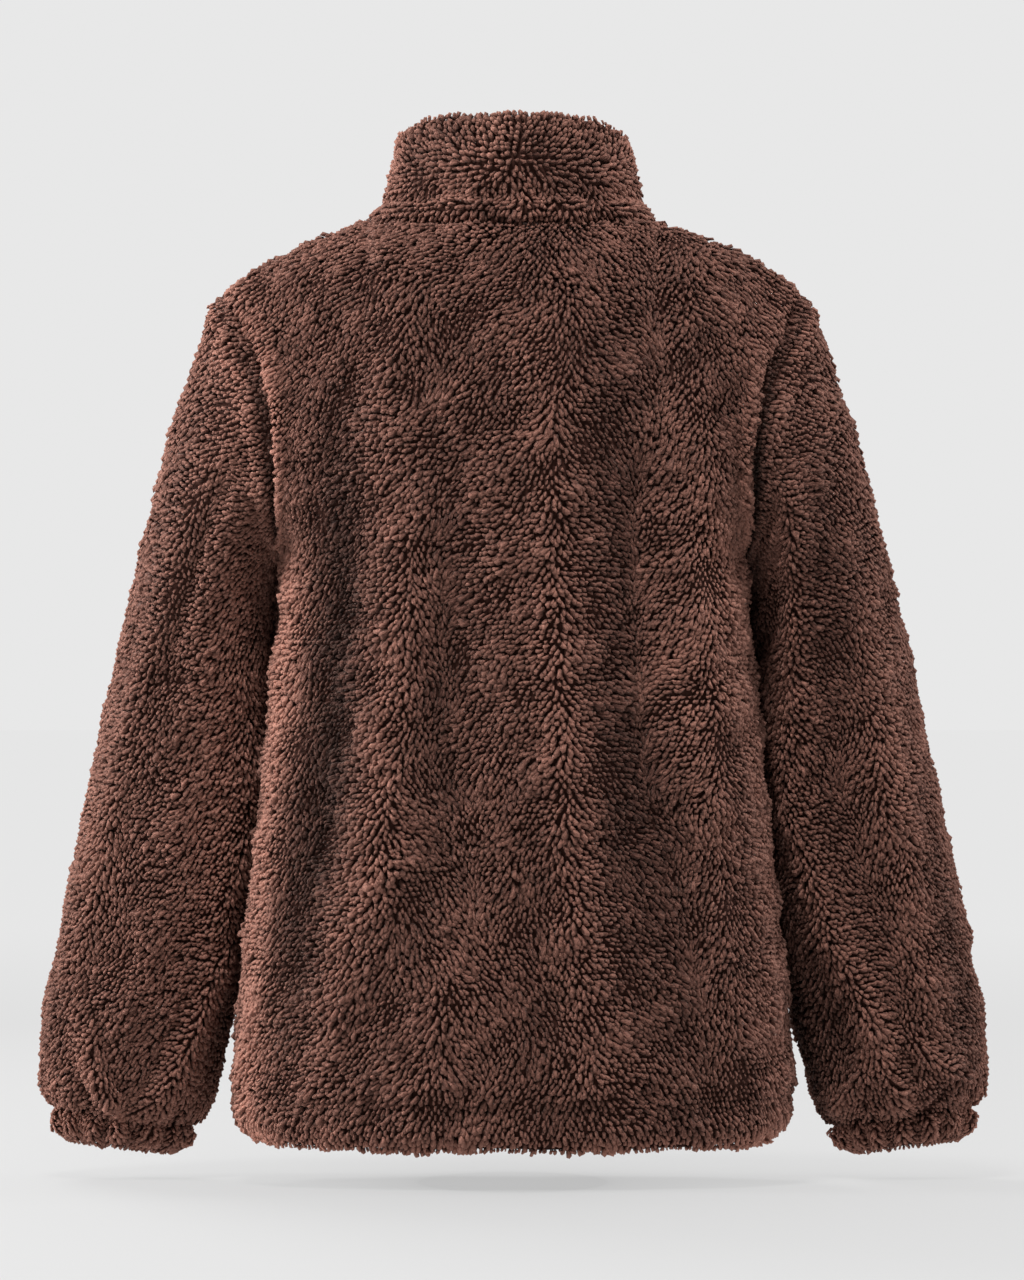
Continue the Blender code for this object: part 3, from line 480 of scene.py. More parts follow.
def makeLocks(name, surface, seed, spacing=None):
    # locks on a surface, given as grids: points, normals, flow, size, lean (radians) and tone, which carries painted
    # light and shade as well
    rng = np.random.default_rng(seed)
    around = surface["around"]
    row, column = lattice(surface["points"], around, spacing or pile["spacing"], surface.get("dense", 1), rng)
    place, normal, flow, size, lean, tone = (
        sample(surface[key], row, column, around)
        for key in ("points", "normals", "flow", "size", "lean", "tone"))
    n = len(place)
    normal = unit(normal)
    flow = squareTo(flow, normal)
    turn = rng.normal(0, 0.11, n)[:, None]
    flow = flow * np.cos(turn) + np.cross(normal, flow) * np.sin(turn)
    side = np.cross(normal, flow)
    size = size * np.exp(rng.normal(0, 0.10, n))
    lean = (lean + rng.normal(0, 0.09, n)).clip(0.05, 1.35)[:, None]
    length = (pile["length"] * size * np.exp(rng.normal(0, 0.09, n)))[:, None]
    curl = rng.uniform(-1, 1, n)[:, None]
    forward = length * (lockSpine["forward"] * np.cos(lean) - lockSpine["height"] * np.sin(lean))
    height = length * (lockSpine["forward"] * np.sin(lean) + lockSpine["height"] * np.cos(lean))
    height = height - pile["bed"] * 0.55
    sideways = length * lockSpine["curl"] * curl
    # direction of the spine at each station, to set the rings square to it
    dForward, dHeight = np.gradient(forward, axis=1), np.gradient(height, axis=1)
    norm = np.hypot(dForward, dHeight)
    upForward, upHeight = -dHeight / norm, dForward / norm
    width = (pile["halfWidth"] * size)[:, None] * lockSpine["width"]
    thick = (pile["halfThickness"] * size)[:, None] * lockSpine["thickness"]
    roll = rng.normal(0, pile["roll"], n)
    local = np.zeros((n, 8, 3))  # across, forward, up
    rows = [(0, 0, 0, 0)]
    rows += [(1 + ring * 3 + k, 1 + ring, *lockSection[k]) for ring in range(2) for k in range(3)]
    rows += [(7, 3, 0, 0)]
    for vertex, station, aside, above in rows:
        across, over = aside * width[:, station], above * thick[:, station]
        across, over = across * np.cos(roll) - over * np.sin(roll), across * np.sin(roll) + over * np.cos(roll)
        local[:, vertex, 0] = sideways[:, station] + across
        local[:, vertex, 1] = forward[:, station] + over * upForward[:, station]
        local[:, vertex, 2] = height[:, station] + over * upHeight[:, station]
    points = (place[:, None] + local[..., :1] * side[:, None] + local[..., 1:2] * flow[:, None]
              + local[..., 2:] * normal[:, None]).reshape(-1, 3)
    corners = (lockCorners[None] + 8 * np.arange(n)[:, None]).ravel()
    piece = putMesh(name, points, corners, np.tile(lockSizes, n))
    addValues(piece, "paintedRootToTip", "FLOAT", np.tile(lockPaintedRootToTip, n))
    # each lock's tone: the grid's painted light and shade plus a random part
    addValues(piece, "tone", "FLOAT", np.repeat(tone + rng.normal(0, 1, n) * 0.38, 8))
    strand = local + np.repeat(rng.uniform(0, 9, (n, 1, 3)), 8, axis=1)
    addValues(piece, "strand", "FLOAT_VECTOR", strand.reshape(-1, 3))
    cells = int(math.ceil(math.sqrt(n)))
    cell = np.stack([np.arange(n) % cells, np.arange(n) // cells], axis=1)[:, None]
    uv = piece.data.uv_layers.new(name="OFBake")
    uv.data.foreach_set("uv", ((cell + 0.06 + 0.88 * lockUv[None]) / cells).astype(np.float32).ravel())
    print(f"{name}: {n} locks, {n * 12} triangles")
    return piece


def makeShell(name, outer, inner, around):
    # one closed wall between two grids; the inner side gets the second material
    rows, columns = outer.shape[:2]
    index = np.arange(rows * columns).reshape(rows, columns)
    index = np.concatenate([index, index[:, :1]], axis=1) if around else index
    a, b, c, d = index[:-1, :-1], index[:-1, 1:], index[1:, 1:], index[1:, :-1]
    outside = np.stack([a, b, c, d], axis=-1).reshape(-1, 4)
    back = rows * columns
    inside = outside[:, ::-1] + back
    rims = [np.stack([index[0, 1:], index[0, :-1], index[0, :-1] + back, index[0, 1:] + back], axis=-1),
            np.stack([index[-1, :-1], index[-1, 1:], index[-1, 1:] + back, index[-1, :-1] + back], axis=-1)]
    if not around:
        rims.append(np.stack([index[:-1, 0], index[1:, 0], index[1:, 0] + back, index[:-1, 0] + back], axis=-1))
        rims.append(np.stack([index[1:, -1], index[:-1, -1], index[:-1, -1] + back, index[1:, -1] + back], axis=-1))
    faces = np.concatenate([outside, inside, *rims])
    points = np.concatenate([outer.reshape(-1, 3), inner.reshape(-1, 3)])
    middle = (rows // 2) * columns + columns // 3
    facing = np.cross(points[middle + 1] - points[middle], points[middle + columns] - points[middle])
    if facing @ (points[middle] - points[middle + back]) < 0:
        faces = faces[:, ::-1]
    piece = putMesh(name, points, faces.ravel(), np.full(len(faces), 4))
    which = np.zeros(len(faces), np.int32)
    which[len(outside):2 * len(outside)] = 1
    piece.data.materials.append(bedCloth)
    piece.data.materials.append(knitBacking)
    piece.data.polygons.foreach_set("material_index", which)
    print(f"{name}: {len(faces) * 2} triangles")
    return piece


def crested(outer, inner, bulge):
    # both sides of a wall again, with half an ellipse between their last rows to round its top
    middle, half = (outer[-1] + inner[-1]) / 2, (outer[-1] - inner[-1]) / 2
    arcs = []
    for turns in ([35, 65, 88], [145, 115, 92]):
        turn = np.radians(turns)[:, None, None]
        arcs.append(middle + half * np.cos(turn) - straightDown * bulge * np.sin(turn))
    return np.concatenate([outer, arcs[0]]), np.concatenate([inner, arcs[1]])


def dress(name, surface, inner, seed, spacing=None, split=None):
    # the shell and its locks, in place of the solid of the same name, which is hidden
    first = surface.get("rimFirst", 0)
    last = surface.get("shellTo", len(surface["points"]) - surface.get("rimLast", 0))
    points, normals = surface["points"][first:last], surface["normals"][first:last]
    # a trough never goes through the inner side
    points += normals * (pile["bed"] + pile["backing"] - dots(points - inner, normals)).clip(0)
    outer, step = points - normals * pile["bed"], panelGrid["shellStep"]
    outer, inner = outer[::step, ::step], inner[::step, ::step]
    if "crest" in surface:
        outer, inner = crested(outer, inner, surface["crest"])
    shell = makeShell(f"{name}_cloth", outer, inner, surface["around"])
    parts = {"_a": slice(None, split + 1), "_b": slice(split, None)} if split else {"": slice(None)}
    locks = []
    for label, columns in parts.items():
        part = {key: value[:, columns] if isinstance(value, np.ndarray) else value for key, value in surface.items()}
        locks.append(makeLocks(f"{name}_pile{label}", part, seed + len(locks), spacing))
        locks[-1].data.materials.append(pileLocks)
    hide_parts(name)


def setSocket(tree, socket, value):
    # a link from a Value, or else the plain value
    if isinstance(value, Value):
        tree.links.new(value.socket, socket)
    else:
        socket.default_value = value


class Value:
    # a socket that adds Math nodes when it is used in an expression
    def __init__(self, tree, socket):
        self.tree, self.socket = tree, socket

    def math(self, operation, other=None, swap=False):
        node = self.tree.nodes.new("ShaderNodeMath")
        node.operation = operation
        for socket, value in zip(node.inputs, [other, self] if swap else [self, other]):
            if value is not None:
                setSocket(self.tree, socket, value)
        return Value(self.tree, node.outputs[0])

    def __add__(self, other): return self.math("ADD", other)
    def __radd__(self, other): return self.math("ADD", other, True)
    def __sub__(self, other): return self.math("SUBTRACT", other)
    def __mul__(self, other): return self.math("MULTIPLY", other)
    def __pow__(self, other): return self.math("POWER", other)


class Finish:
    # a material with one Principled shader, and a method that makes any other node
    def __init__(self, name, **sockets):
        self.material = bpy.data.materials.new(name)
        self.material.use_nodes = True
        self.tree = self.material.node_tree
        self.shader = self.tree.nodes["Principled BSDF"]
        self.feed(self.shader, sockets)

    def feed(self, node, sockets):
        for key, value in sockets.items():
            setSocket(self.tree, node.inputs[key.replace("_", " ")], value)

    def add(self, kind, settings=None, output=0, **sockets):
        node = self.tree.nodes.new("ShaderNode" + kind)
        for key, value in (settings or {}).items():
            setattr(node, key, value)
        self.feed(node, sockets)
        return Value(self.tree, node.outputs[output])

    def attribute(self, name, output="Fac"):
        return self.add("Attribute", {"attribute_name": name}, output)

    def noise(self, vector, scale, detail=2.0, roughness=0.5):
        return self.add("TexNoise", Vector=vector, Scale=scale, Detail=detail, Roughness=roughness, output="Fac")

    def stretch(self, vector, scale):
        return self.add("Mapping", Vector=vector, Scale=scale)

    def object(self):
        return self.add("TexCoord", output="Object")

    def part(self, vector, axis):
        return self.add("SeparateXYZ", output="XYZ".index(axis), Vector=vector)

    def mix(self, factor, first, second):
        mixed = self.add("Mix", {"data_type": "RGBA"}, 2)
        for index, value in ((0, factor), (6, (*first, 1)), (7, (*second, 1))):
            setSocket(self.tree, mixed.socket.node.inputs[index], value)
        return mixed

    def ramp(self, factor, stops):
        shade = self.add("ValToRGB", Fac=factor)
        colours = shade.socket.node.color_ramp.elements
        colours.new(0.5)
        for element, (position, colour) in zip(colours, stops):
            element.position, element.color = position, (*colour, 1)
        return shade

    def finished(self, colour, height, strength, distance, **sockets):
        normal = self.add("Bump", Height=height, Strength=strength, Distance=distance)
        self.feed(self.shader, {"Base Color": colour, "Normal": normal, **sockets})
        return self.material


# the dark root and middle colours are painted shade down in the pile, the pale tip colour painted light on the tops
pileColour = {
    "root": (0.013, 0.0050, 0.0036), "middle": (0.080, 0.0318, 0.0238), "tip": (0.270, 0.126, 0.094),
    "sheen": (0.85, 0.54, 0.44), "sheenWeight": 0.18, "sheenRoughness": 0.40,
}


def makePileLocks():
    # painted shade at the roots and painted light on each lock's ridge and tip, each lock a little lighter or darker by
    # its tone and painted light, with fine fibres along it
    finish = Finish("pile_locks", Roughness=0.82, Sheen_Weight=pileColour["sheenWeight"],
                    Sheen_Roughness=pileColour["sheenRoughness"], Sheen_Tint=(*pileColour["sheen"], 1),
                    Specular_IOR_Level=0.12)
    paintedRootToTip, tone = finish.attribute("paintedRootToTip"), finish.attribute("tone")
    strand = finish.attribute("strand", "Vector")
    fibres = finish.noise(finish.stretch(strand, (1900, 260, 1900)), 1.0, 2.0)
    curls = finish.noise(finish.stretch(strand, (720, 330, 720)), 1.0, 1.0)
    ends = paintedRootToTip + (fibres - 0.5) * 0.7 + (curls - 0.5) * 0.9 + tone * 0.10
    colour = finish.ramp(ends, [(0.05, pileColour["root"]), (0.50, pileColour["middle"]), (1.0, pileColour["tip"])])
    lightness = finish.add("HueSaturation", Color=colour, Value=1 + tone * 0.22)
    return finish.finished(lightness, curls * 0.8 + fibres * 0.4, 1.0, 0.0022)


def makeBedCloth():
    # the cloth between the roots
    finish = Finish("pile_bed", Roughness=0.95, Specular_IOR_Level=0.1)
    grain = finish.noise(finish.object(), 620, 3.0)
    return finish.finished(finish.mix(grain, (0.020, 0.0079, 0.0058), (0.080, 0.0320, 0.0235)), grain, 0.5, 0.0006)


def makeKnitBacking():
    # the inside: a fine brushed knit, ribs up and down with small stitches
    finish = Finish("knit_backing", Roughness=0.9, Sheen_Weight=0.25, Sheen_Roughness=0.5,
                    Sheen_Tint=(0.75, 0.52, 0.44, 1))
    place = finish.object()
    ribs = finish.noise(finish.stretch(place, (1500, 1500, 380)), 1.0, 1.5)
    fuzz = finish.noise(place, 260, 4.0, 0.6)
    shade = ribs * 0.5 + fuzz * 0.3 + finish.noise(place, 18, 2.0) * 0.3
    return finish.finished(finish.mix(shade, (0.040, 0.018, 0.014), (0.135, 0.066, 0.051)), ribs * 0.6 + fuzz * 0.4,
                           0.6, 0.0007)


pileLocks, bedCloth, knitBacking = makePileLocks(), makeBedCloth(), makeKnitBacking()
print("pile materials made")


panelGrid = {"lower": 96, "upper": 60, "columns": 72, "shellStep": 3}  # steps, each a multiple of shellStep
bodyLook = {
    "edgeRoll": 0.0044, "edgeRollAt": 0.010, "edgeRollWidth": 0.0075,  # the raised edge beside each armhole seam
    "seamDip": 0.0036, "seamDipWidth": 0.0036, "softFrom": -0.125, "softTo": -0.060,  # softer towards the shoulder
    # the edge's paler pile is painted light, stronger on the wearer's left
    "edgePaintedLight": 2.3, "hemRoll": 0.0026, "hemTurn": 0.0040, "zipDip": 0.0030, "zipDipWidth": 0.006,
    "outwards": 1.2,  # how strongly the pile turns out over the armhole seam and away from the zip
    "bumps": [(0.0011, 0.034), (0.0005, 0.013)],
    "wander": {"size": (0.22, 0.042), "lean": (0.17, 0.038), "tone": (0.20, 0.060)},
}


def atShoulder(z):
    # 0 at the back of the armhole, 1 on the shoulder
    return ease((z - bodyLook["softFrom"]) / (bodyLook["softTo"] - bodyLook["softFrom"]))


def acrossX(points):
    # the direction along a grid's rows, pointing to the wearer's left
    across = np.gradient(points, axis=1)
    return unit(across * np.sign(across[..., 0].sum()))


def bodySurface(back, folds, ridges, lay, mirrored, seed):
    look, lower, upper = bodyLook, panelGrid["lower"], panelGrid["upper"]
    share = np.linspace(0, 1, panelGrid["columns"] + 1)
    if back:
        share = np.concatenate([-share[:0:-1], share])
    base = bodyPanel(share, back, lower, upper)
    normals = bodyNormals(base, share, back, lower)
    sign = -1 if mirrored else 1
    flip = np.array([sign, 1, 1])
    x, z = sign * base[..., 0], base[..., 2]
    fold = foldHeight(folds, x, z) * (1 - np.abs(share) ** 4)
    inner = base + normals * (fold - cut["wall"])[..., None]
    nap = foldHeight(ridges, x, z)
    rowLength = np.linalg.norm(np.diff(base, axis=1), axis=2).sum(axis=1)[:, None] / (2 if back else 1)
    toEdge = (1 - np.abs(share)) * rowLength  # about the distance to the side seam or armhole
    aboveSeam = ease((np.arange(len(base)) - lower + 8) / 16)[:, None]
    shoulder = atShoulder(z)
    roll = look["edgeRoll"] * bell(toEdge - look["edgeRollAt"], look["edgeRollWidth"]) * (1 - 0.8 * shoulder)
    roll = roll * ((z - cut["underarm"]) / 0.075).clip(0, 1) ** 0.7  # no bulge of the outline at the underarm
    dip = look["seamDip"] * bell(toEdge, look["seamDipWidth"]) * (1 - 0.5 * shoulder)
    toHem = z - z[0] + 0 * x
    hem = look["hemRoll"] * (bell(toHem - 0.012, 0.009) - 0.5 * bell(toHem - 0.030, 0.008))
    hem = hem - look["hemTurn"] * (1 - toHem / 0.009).clip(0) ** 2
    toTop = rowDistance(base[::-1])[::-1]
    top = -0.0022 * bell(toTop, 0.0045) + 0.0012 * bell(toTop - 0.012, 0.008)
    places = base * flip
    uneven = unevenness(look, places, seed) * (1 - 0.7 * bell(toEdge, 0.020) * aboveSeam)
    relief = fold + nap + (roll - dip) * aboveSeam - 0.0012 * bell(toEdge, 0.004) * (1 - aboveSeam) + hem + top + uneven
    besideZip = np.zeros_like(x)
    if not back:
        besideZip = bell(base[..., 0] - cut["frontEdge"], look["zipDipWidth"])
        relief = relief - look["zipDip"] * besideZip
    points = (base + normals * (relief - pile["sink"])[..., None]) * flip
    fresh = freshNormals(points, normals * flip)
    flow = pileField(points, fresh, nap + 0.6 * fold, sign * layOf(lay, x, z), straightDown, acrossX(points), seed)
    # straight down at the hem, outwards over the armhole seam, away from the zip
    outward = np.zeros_like(points)
    outward[..., 0] = np.sign(points[..., 0])
    flow = flow + (straightDown - flow) * bell(toHem, 0.020)[..., None] * 0.85
    flow = flow + outward * (look["outwards"] * bell(toEdge, 0.018) * aboveSeam * (1 - 0.7 * shoulder))[..., None]
    flow = flow + outward * (look["outwards"] * besideZip)[..., None]
    flow = squareTo(flow, fresh)
    size = 1.0 + wander(look, "size", points, seed) + pile["sizeByHeight"] * nap
    size = size + 0.06 * bell(toEdge - 0.008, 0.014) * aboveSeam - 0.08 * bell(toHem, 0.007)
    size = size * (1 - 0.25 * besideZip) * (1 if back else 1.08)
    lean = 0.33 + wander(look, "lean", points, seed) + 0.15 * bell(toEdge, 0.010) * aboveSeam
    lean = lean + pile["leanByHeight"] * nap
    # painted light and shade: paler on the ridges, darker in the folds' troughs
    tone = wander(look, "tone", points, seed) + pile["toneByHeight"] * (nap + 0.85 * fold) - 0.20
    paintedEdgeLight = look["edgePaintedLight"] * np.where(places[..., 0] > 0, 1, 0.4)
    # painted light paler on the hem's rim and painted shade darker in the dip above the hem's roll; paler over the
    # lowest few centimetres
    tone = tone + 2.4 * bell(toHem - 0.003, 0.009) - 0.4 * bell(toHem - 0.030, 0.008) + 0.6 * bell(toHem - 0.02, 0.06)
    # painted light: paler along the raised edge beside the armhole seam, more on the wearer's left
    tone = tone + 1.5 * paintedEdgeLight * bell(toEdge - 0.007, 0.012) * aboveSeam * (1 - 0.7 * shoulder)
    if back:
        # painted shade and painted light in broad bands over the back
        tone = tone + foldHeight(backPaintedShading, x, z)
        # painted light: paler on the side below the underarm, more on the wearer's left
        tone = tone + 1.05 * paintedEdgeLight * bell(toEdge - 0.056, 0.034) * (1 - aboveSeam)
    return {"points": points, "normals": fresh, "flow": flow, "size": size, "lean": lean, "tone": tone,
            "around": False}, inner * flip


def rimRows(surface, inner, first, steps=3):
    # rows that carry the pile round a cut edge, in an arc from the outer to the inner side
    p = surface["points"]
    edge, nextRow, innerEdge = (p[0], p[1], inner[0]) if first else (p[-1], p[-2], inner[-1])
    middle, half = (edge + innerEdge) / 2, (edge - innerEdge) / 2
    radius = np.linalg.norm(half, axis=-1, keepdims=True)
    out = half / radius
    off = squareTo(edge - nextRow, out)
    angle = np.radians(np.linspace(30, 140, steps))[:, None, None]
    points = middle + radius * (out * np.cos(angle) + off * np.sin(angle) * 0.15)
    normals = unit(out * np.cos(angle) + off * np.sin(angle))
    flow = unit(off * np.cos(angle + 1.1) - out * np.sin(angle + 1.1))  # turned in, to follow the arc
    added = {"points": points, "normals": normals, "flow": flow}
    for key in ("size", "lean", "tone"):
        line = surface[key][0] if first else surface[key][-1]
        added[key] = np.repeat(line[None], steps, axis=0)
    added["lean"] = 0.1 * added["lean"]
    # painted light: the rows round a cut edge are paler
    added["tone"] = added["tone"] + 0.8
    added["size"] = added["size"] * (0.62 - 0.06 * np.arange(steps)[:, None])
    for key, rows in added.items():
        both = [rows[::-1], surface[key]] if first else [surface[key], rows]
        surface[key] = np.concatenate(both)
    surface["rimFirst" if first else "rimLast"] = steps
    return surface


backSurface, backInner = bodySurface(True, backFolds, backRidges, backLay, False, 11)
dress("back", rimRows(backSurface, backInner, True), backInner, 101, spacing=0.0042,
      split=panelGrid["columns"])
for side, mirrored, seed in (("left", False, 31), ("right", True, 51)):
    surface, inner = bodySurface(False, frontFolds, frontRidges, frontLay, mirrored, seed)
    dress(f"front_{side}", rimRows(surface, inner, True), inner, seed + 100, spacing=0.0049)


sleeveRows = np.array([  # outer x, outer z, inner x, inner z, middle y, half depth, oval
    (0.2070, -0.050, 0.1660, -0.2410, -0.001, 0.068, 0.00),
    (0.2210, -0.075, 0.1690, -0.2405, -0.005, 0.070, 0.20),
    (0.2335, -0.107, 0.1708, -0.2440, -0.011, 0.073, 0.50),
    (0.2500, -0.158, 0.1712, -0.2520, -0.020, 0.077, 0.85),
    (0.2630, -0.209, 0.1708, -0.2640, -0.030, 0.079, 1.00),
    (0.2730, -0.250, 0.1705, -0.2830, -0.039, 0.079, 1.00),
    (0.2860, -0.303, 0.1712, -0.3250, -0.050, 0.078, 1.00),
    (0.2990, -0.361, 0.1732, -0.3800, -0.058, 0.076, 1.00),
    (0.3115, -0.419, 0.1780, -0.4380, -0.064, 0.074, 1.00),
    (0.3235, -0.477, 0.1860, -0.4970, -0.068, 0.071, 1.00),
    (0.3340, -0.528, 0.1965, -0.5490, -0.070, 0.068, 1.00),
    (0.3425, -0.571, 0.2080, -0.5920, -0.071, 0.066, 1.00),
    (0.3460, -0.606, 0.2165, -0.6270, -0.071, 0.064, 1.00),
    (0.3455, -0.624, 0.2210, -0.6420, -0.071, 0.060, 1.00),
    (0.3415, -0.637, 0.2265, -0.6515, -0.071, 0.052, 1.00),
    (0.3365, -0.642, 0.2325, -0.6560, -0.071, 0.043, 1.00),
])
cuffRows = np.array([  # outer x, outer z, inner x, inner z, half depth
    (0.3365, -0.6423, 0.2325, -0.6563, 0.043),
    (0.3395, -0.6490, 0.2320, -0.6640, 0.045),
    (0.3395, -0.6580, 0.2345, -0.6715, 0.045),
    (0.3365, -0.6650, 0.2390, -0.6775, 0.041),
])
sleeveFolds = {  # start, end, from angle, to angle, half angle, rise: angles from the outermost line to the back
    "left": [(0.04, 0.86, 66, 40, 15, 0.0040), (0.28, 0.84, 142, 124, 13, 0.0040),
             (0.03, 0.50, 98, 56, 8, -0.0024), (0.35, 0.86, 60, 56, 8, -0.0024), (0.30, 0.90, 250, 285, 24, 0.0045),
             (0.77, 1.02, 50, 92, 10, 0.0050), (0.69, 1.02, 142, 104, 11, 0.0050),  # the two ridges of the V
             (0.79, 0.98, 64, 98, 5, -0.0034), (0.74, 0.98, 124, 97, 5, -0.0034), (0.76, 0.98, 94, 96, 17, -0.0034),
             (0.85, 1.00, 44, 80, 6, -0.0034), (0.86, 1.02, 26, 58, 8, 0.0032),
             (0.80, 1.02, 300, 268, 16, 0.0030), (0.84, 1.02, 215, 232, 16, 0.0028)],
    "right": [(0.02, 0.50, 96, 120, 12, 0.0034), (0.38, 0.86, 138, 102, 12, 0.0040), (0.30, 0.84, 100, 84, 12, -0.0028),
              (0.28, 0.86, 60, 64, 16, 0.0038), (0.34, 0.92, 262, 292, 24, 0.0045),
              (0.68, 1.02, 108, 88, 8, 0.0046), (0.79, 1.01, 85, 80, 5, -0.0036), (0.82, 0.94, 88, 34, 9, 0.0044),
              (0.87, 1.02, 40, 84, 6, -0.0036), (0.84, 0.96, 102, 148, 9, 0.0034), (0.76, 0.96, 122, 132, 10, -0.0024),
              (0.82, 1.02, 306, 276, 16, 0.0030), (0.84, 1.02, 222, 238, 16, 0.0028)],
}
sleeveRidges = {
    "left": [(0.02, 0.80, 70, 46, 13, 0.0022), (0.30, 0.98, 22, 40, 13, 0.0016), (0.30, 0.98, 150, 130, 13, 0.0022),
             (0.10, 0.95, 245, 285, 18, 0.0024), (0.25, 0.98, 320, 312, 16, 0.0022)],
    "right": [(0.02, 0.50, 98, 122, 12, 0.0022), (0.36, 0.92, 140, 100, 13, 0.0024), (0.20, 0.92, 60, 60, 13, 0.0020),
              (0.12, 0.96, 258, 290, 18, 0.0024), (0.20, 0.98, 326, 316, 16, 0.0022)],
}
sleeveLay = {  # as tubeLayOf reads them: slant towards the outermost line on the back half
    "left": [(-0.1, 1.1, 68, 68, 58, 1.15), (-0.1, 1.1, 292, 292, 58, -1.15), (0.40, 0.46, 140, 136, 12, -0.9),
             (0.62, 0.72, 66, 62, 13, -1.0), (0.60, 0.66, 152, 148, 14, -1.0), (0.78, 0.86, 138, 134, 14, -0.9),
             (0.30, 0.60, 250, 262, 16, 0.9), (0.70, 1.00, 240, 252, 18, 0.9)],
    "right": [(-0.1, 1.1, 68, 68, 58, 1.15), (-0.1, 1.1, 292, 292, 58, -1.15), (0.66, 0.98, 150, 134, 24, -1.0),
              (0.34, 0.46, 132, 128, 13, -0.9), (0.46, 0.58, 84, 78, 12, -0.9), (0.60, 0.70, 58, 54, 12, -0.8),
              (0.36, 0.66, 256, 266, 16, 0.9), (0.74, 1.00, 246, 256, 18, 0.9)],
}
sleevePaintedShading = {  # the same for painted shade and painted light in the tone
    "left": [(0.04, 0.62, 50, 50, 24, -1.4), (0.16, 0.72, 114, 114, 20, 1.3), (0.58, 0.96, 34, 34, 22, -1.3),
             (-0.10, 0.07, 40, 50, 40, 0.7)],
    "right": [(0.00, 0.42, 94, 94, 30, -1.1), (0.50, 1.00, 42, 42, 20, -1.3), (0.46, 0.96, 128, 128, 20, -1.3)],
}
sleeveLook = {
    "long": 105, "puff": 15,  # rows of the hanging length and of the puffed end
    "seamGap": 0.0006, "finer": 0.16,  # finer pile on the back half than on the hidden one
    "seamDip": 0.0044, "seamDipWidth": 0.0065, "crown": 0.0024, "shoulderCrown": 0.0036,
    # tone: painted light, the left sleeve paler than the right; inside: painted shade, how much darker on the side of
    # the body
    "tone": {"left": 0.60, "right": 0.40}, "inside": {"left": 0.4, "right": 2.8},  # darker on the side of the body
    "gather": 0.0030, "gatherFrom": 0.90, "gathers": 16,
    "bumps": [(0.0007, 0.034), (0.0004, 0.013)],
    "wander": {"size": (0.17, 0.042), "lean": (0.13, 0.038), "tone": (0.12, 0.060)},
}


def ripple(angle, count, seed):
    # uneven gathers: waves round a tube whose spacing and height wander
    rng = np.random.default_rng(seed)
    wander = sum(rng.uniform(0.3, 0.8) * np.sin(k * angle + rng.uniform(0, 6.3)) for k in (2, 3, 5))
    height = 0.75 + 0.25 * np.sin(4 * angle + rng.uniform(0, 6.3)) + 0.2 * np.sin(7 * angle + rng.uniform(0, 6.3))
    return np.cos(count * angle + 1.3 * wander) * height


def tubeFoldHeight(folds, share, around):
    # the ridges of a tube, by share of its length and angle in degrees: bell-shaped across, fading at both ends
    total = np.zeros(np.broadcast(share, around).shape)
    for start, end, fromAngle, toAngle, halfAngle, rise in folds:
        t = np.clip((share - start) / (end - start), 0, 1)
        line = 180 - (fromAngle + (toAngle - fromAngle) * t)
        apart = (around - line + 180) % 360 - 180
        total = total + rise * np.exp(-((apart / halfAngle) ** 2)) * np.sin(math.pi * t) ** 0.8
    return total


def sections(rows, middleY):
    # middles and outward halves of the lines that join a tube's inner and outer edge
    outer, inner = (np.stack([rows[:, k], 0 * rows[:, 0], rows[:, k + 1]], axis=-1) for k in (0, 2))
    middles, halves = (outer + inner) / 2, (outer - inner) / 2
    middles[:, 1] = middleY
    return middles, halves


def armholeLoop():
    # the seam's rings, outer and inner, from the underarm up the back and down the front, on the plain panels
    lower, upper = panelGrid["lower"], panelGrid["upper"]
    share = np.linspace(0, 1, panelGrid["columns"] + 1)
    halves = []
    for back in (True, False):
        base = bodyPanel(share, back, lower, upper)
        normals = bodyNormals(base, share, back, lower)
        edge = (base[lower:, -1], base[lower:, -1] - normals[lower:, -1] * cut["wall"], normals[lower:, -1])
        halves.append(edge if back else tuple(part[::-1] for part in edge))
    outer, inner, normals = (np.concatenate([a[:-1], b[:-1]]) for a, b in zip(*halves))
    off = unit(np.cross(np.roll(outer, -1, axis=0) - np.roll(outer, 1, axis=0), normals))
    return outer, inner, off * (1 if off[upper, 0] > 0 else -1)


def outwardNormals(points, around=True):
    # a ring grid's normals, on the side away from its middle line
    normals = gridNormals(points, around)
    outward = points - points.mean(axis=1, keepdims=True)
    return normals if (normals * outward).sum() > 0 else -normals


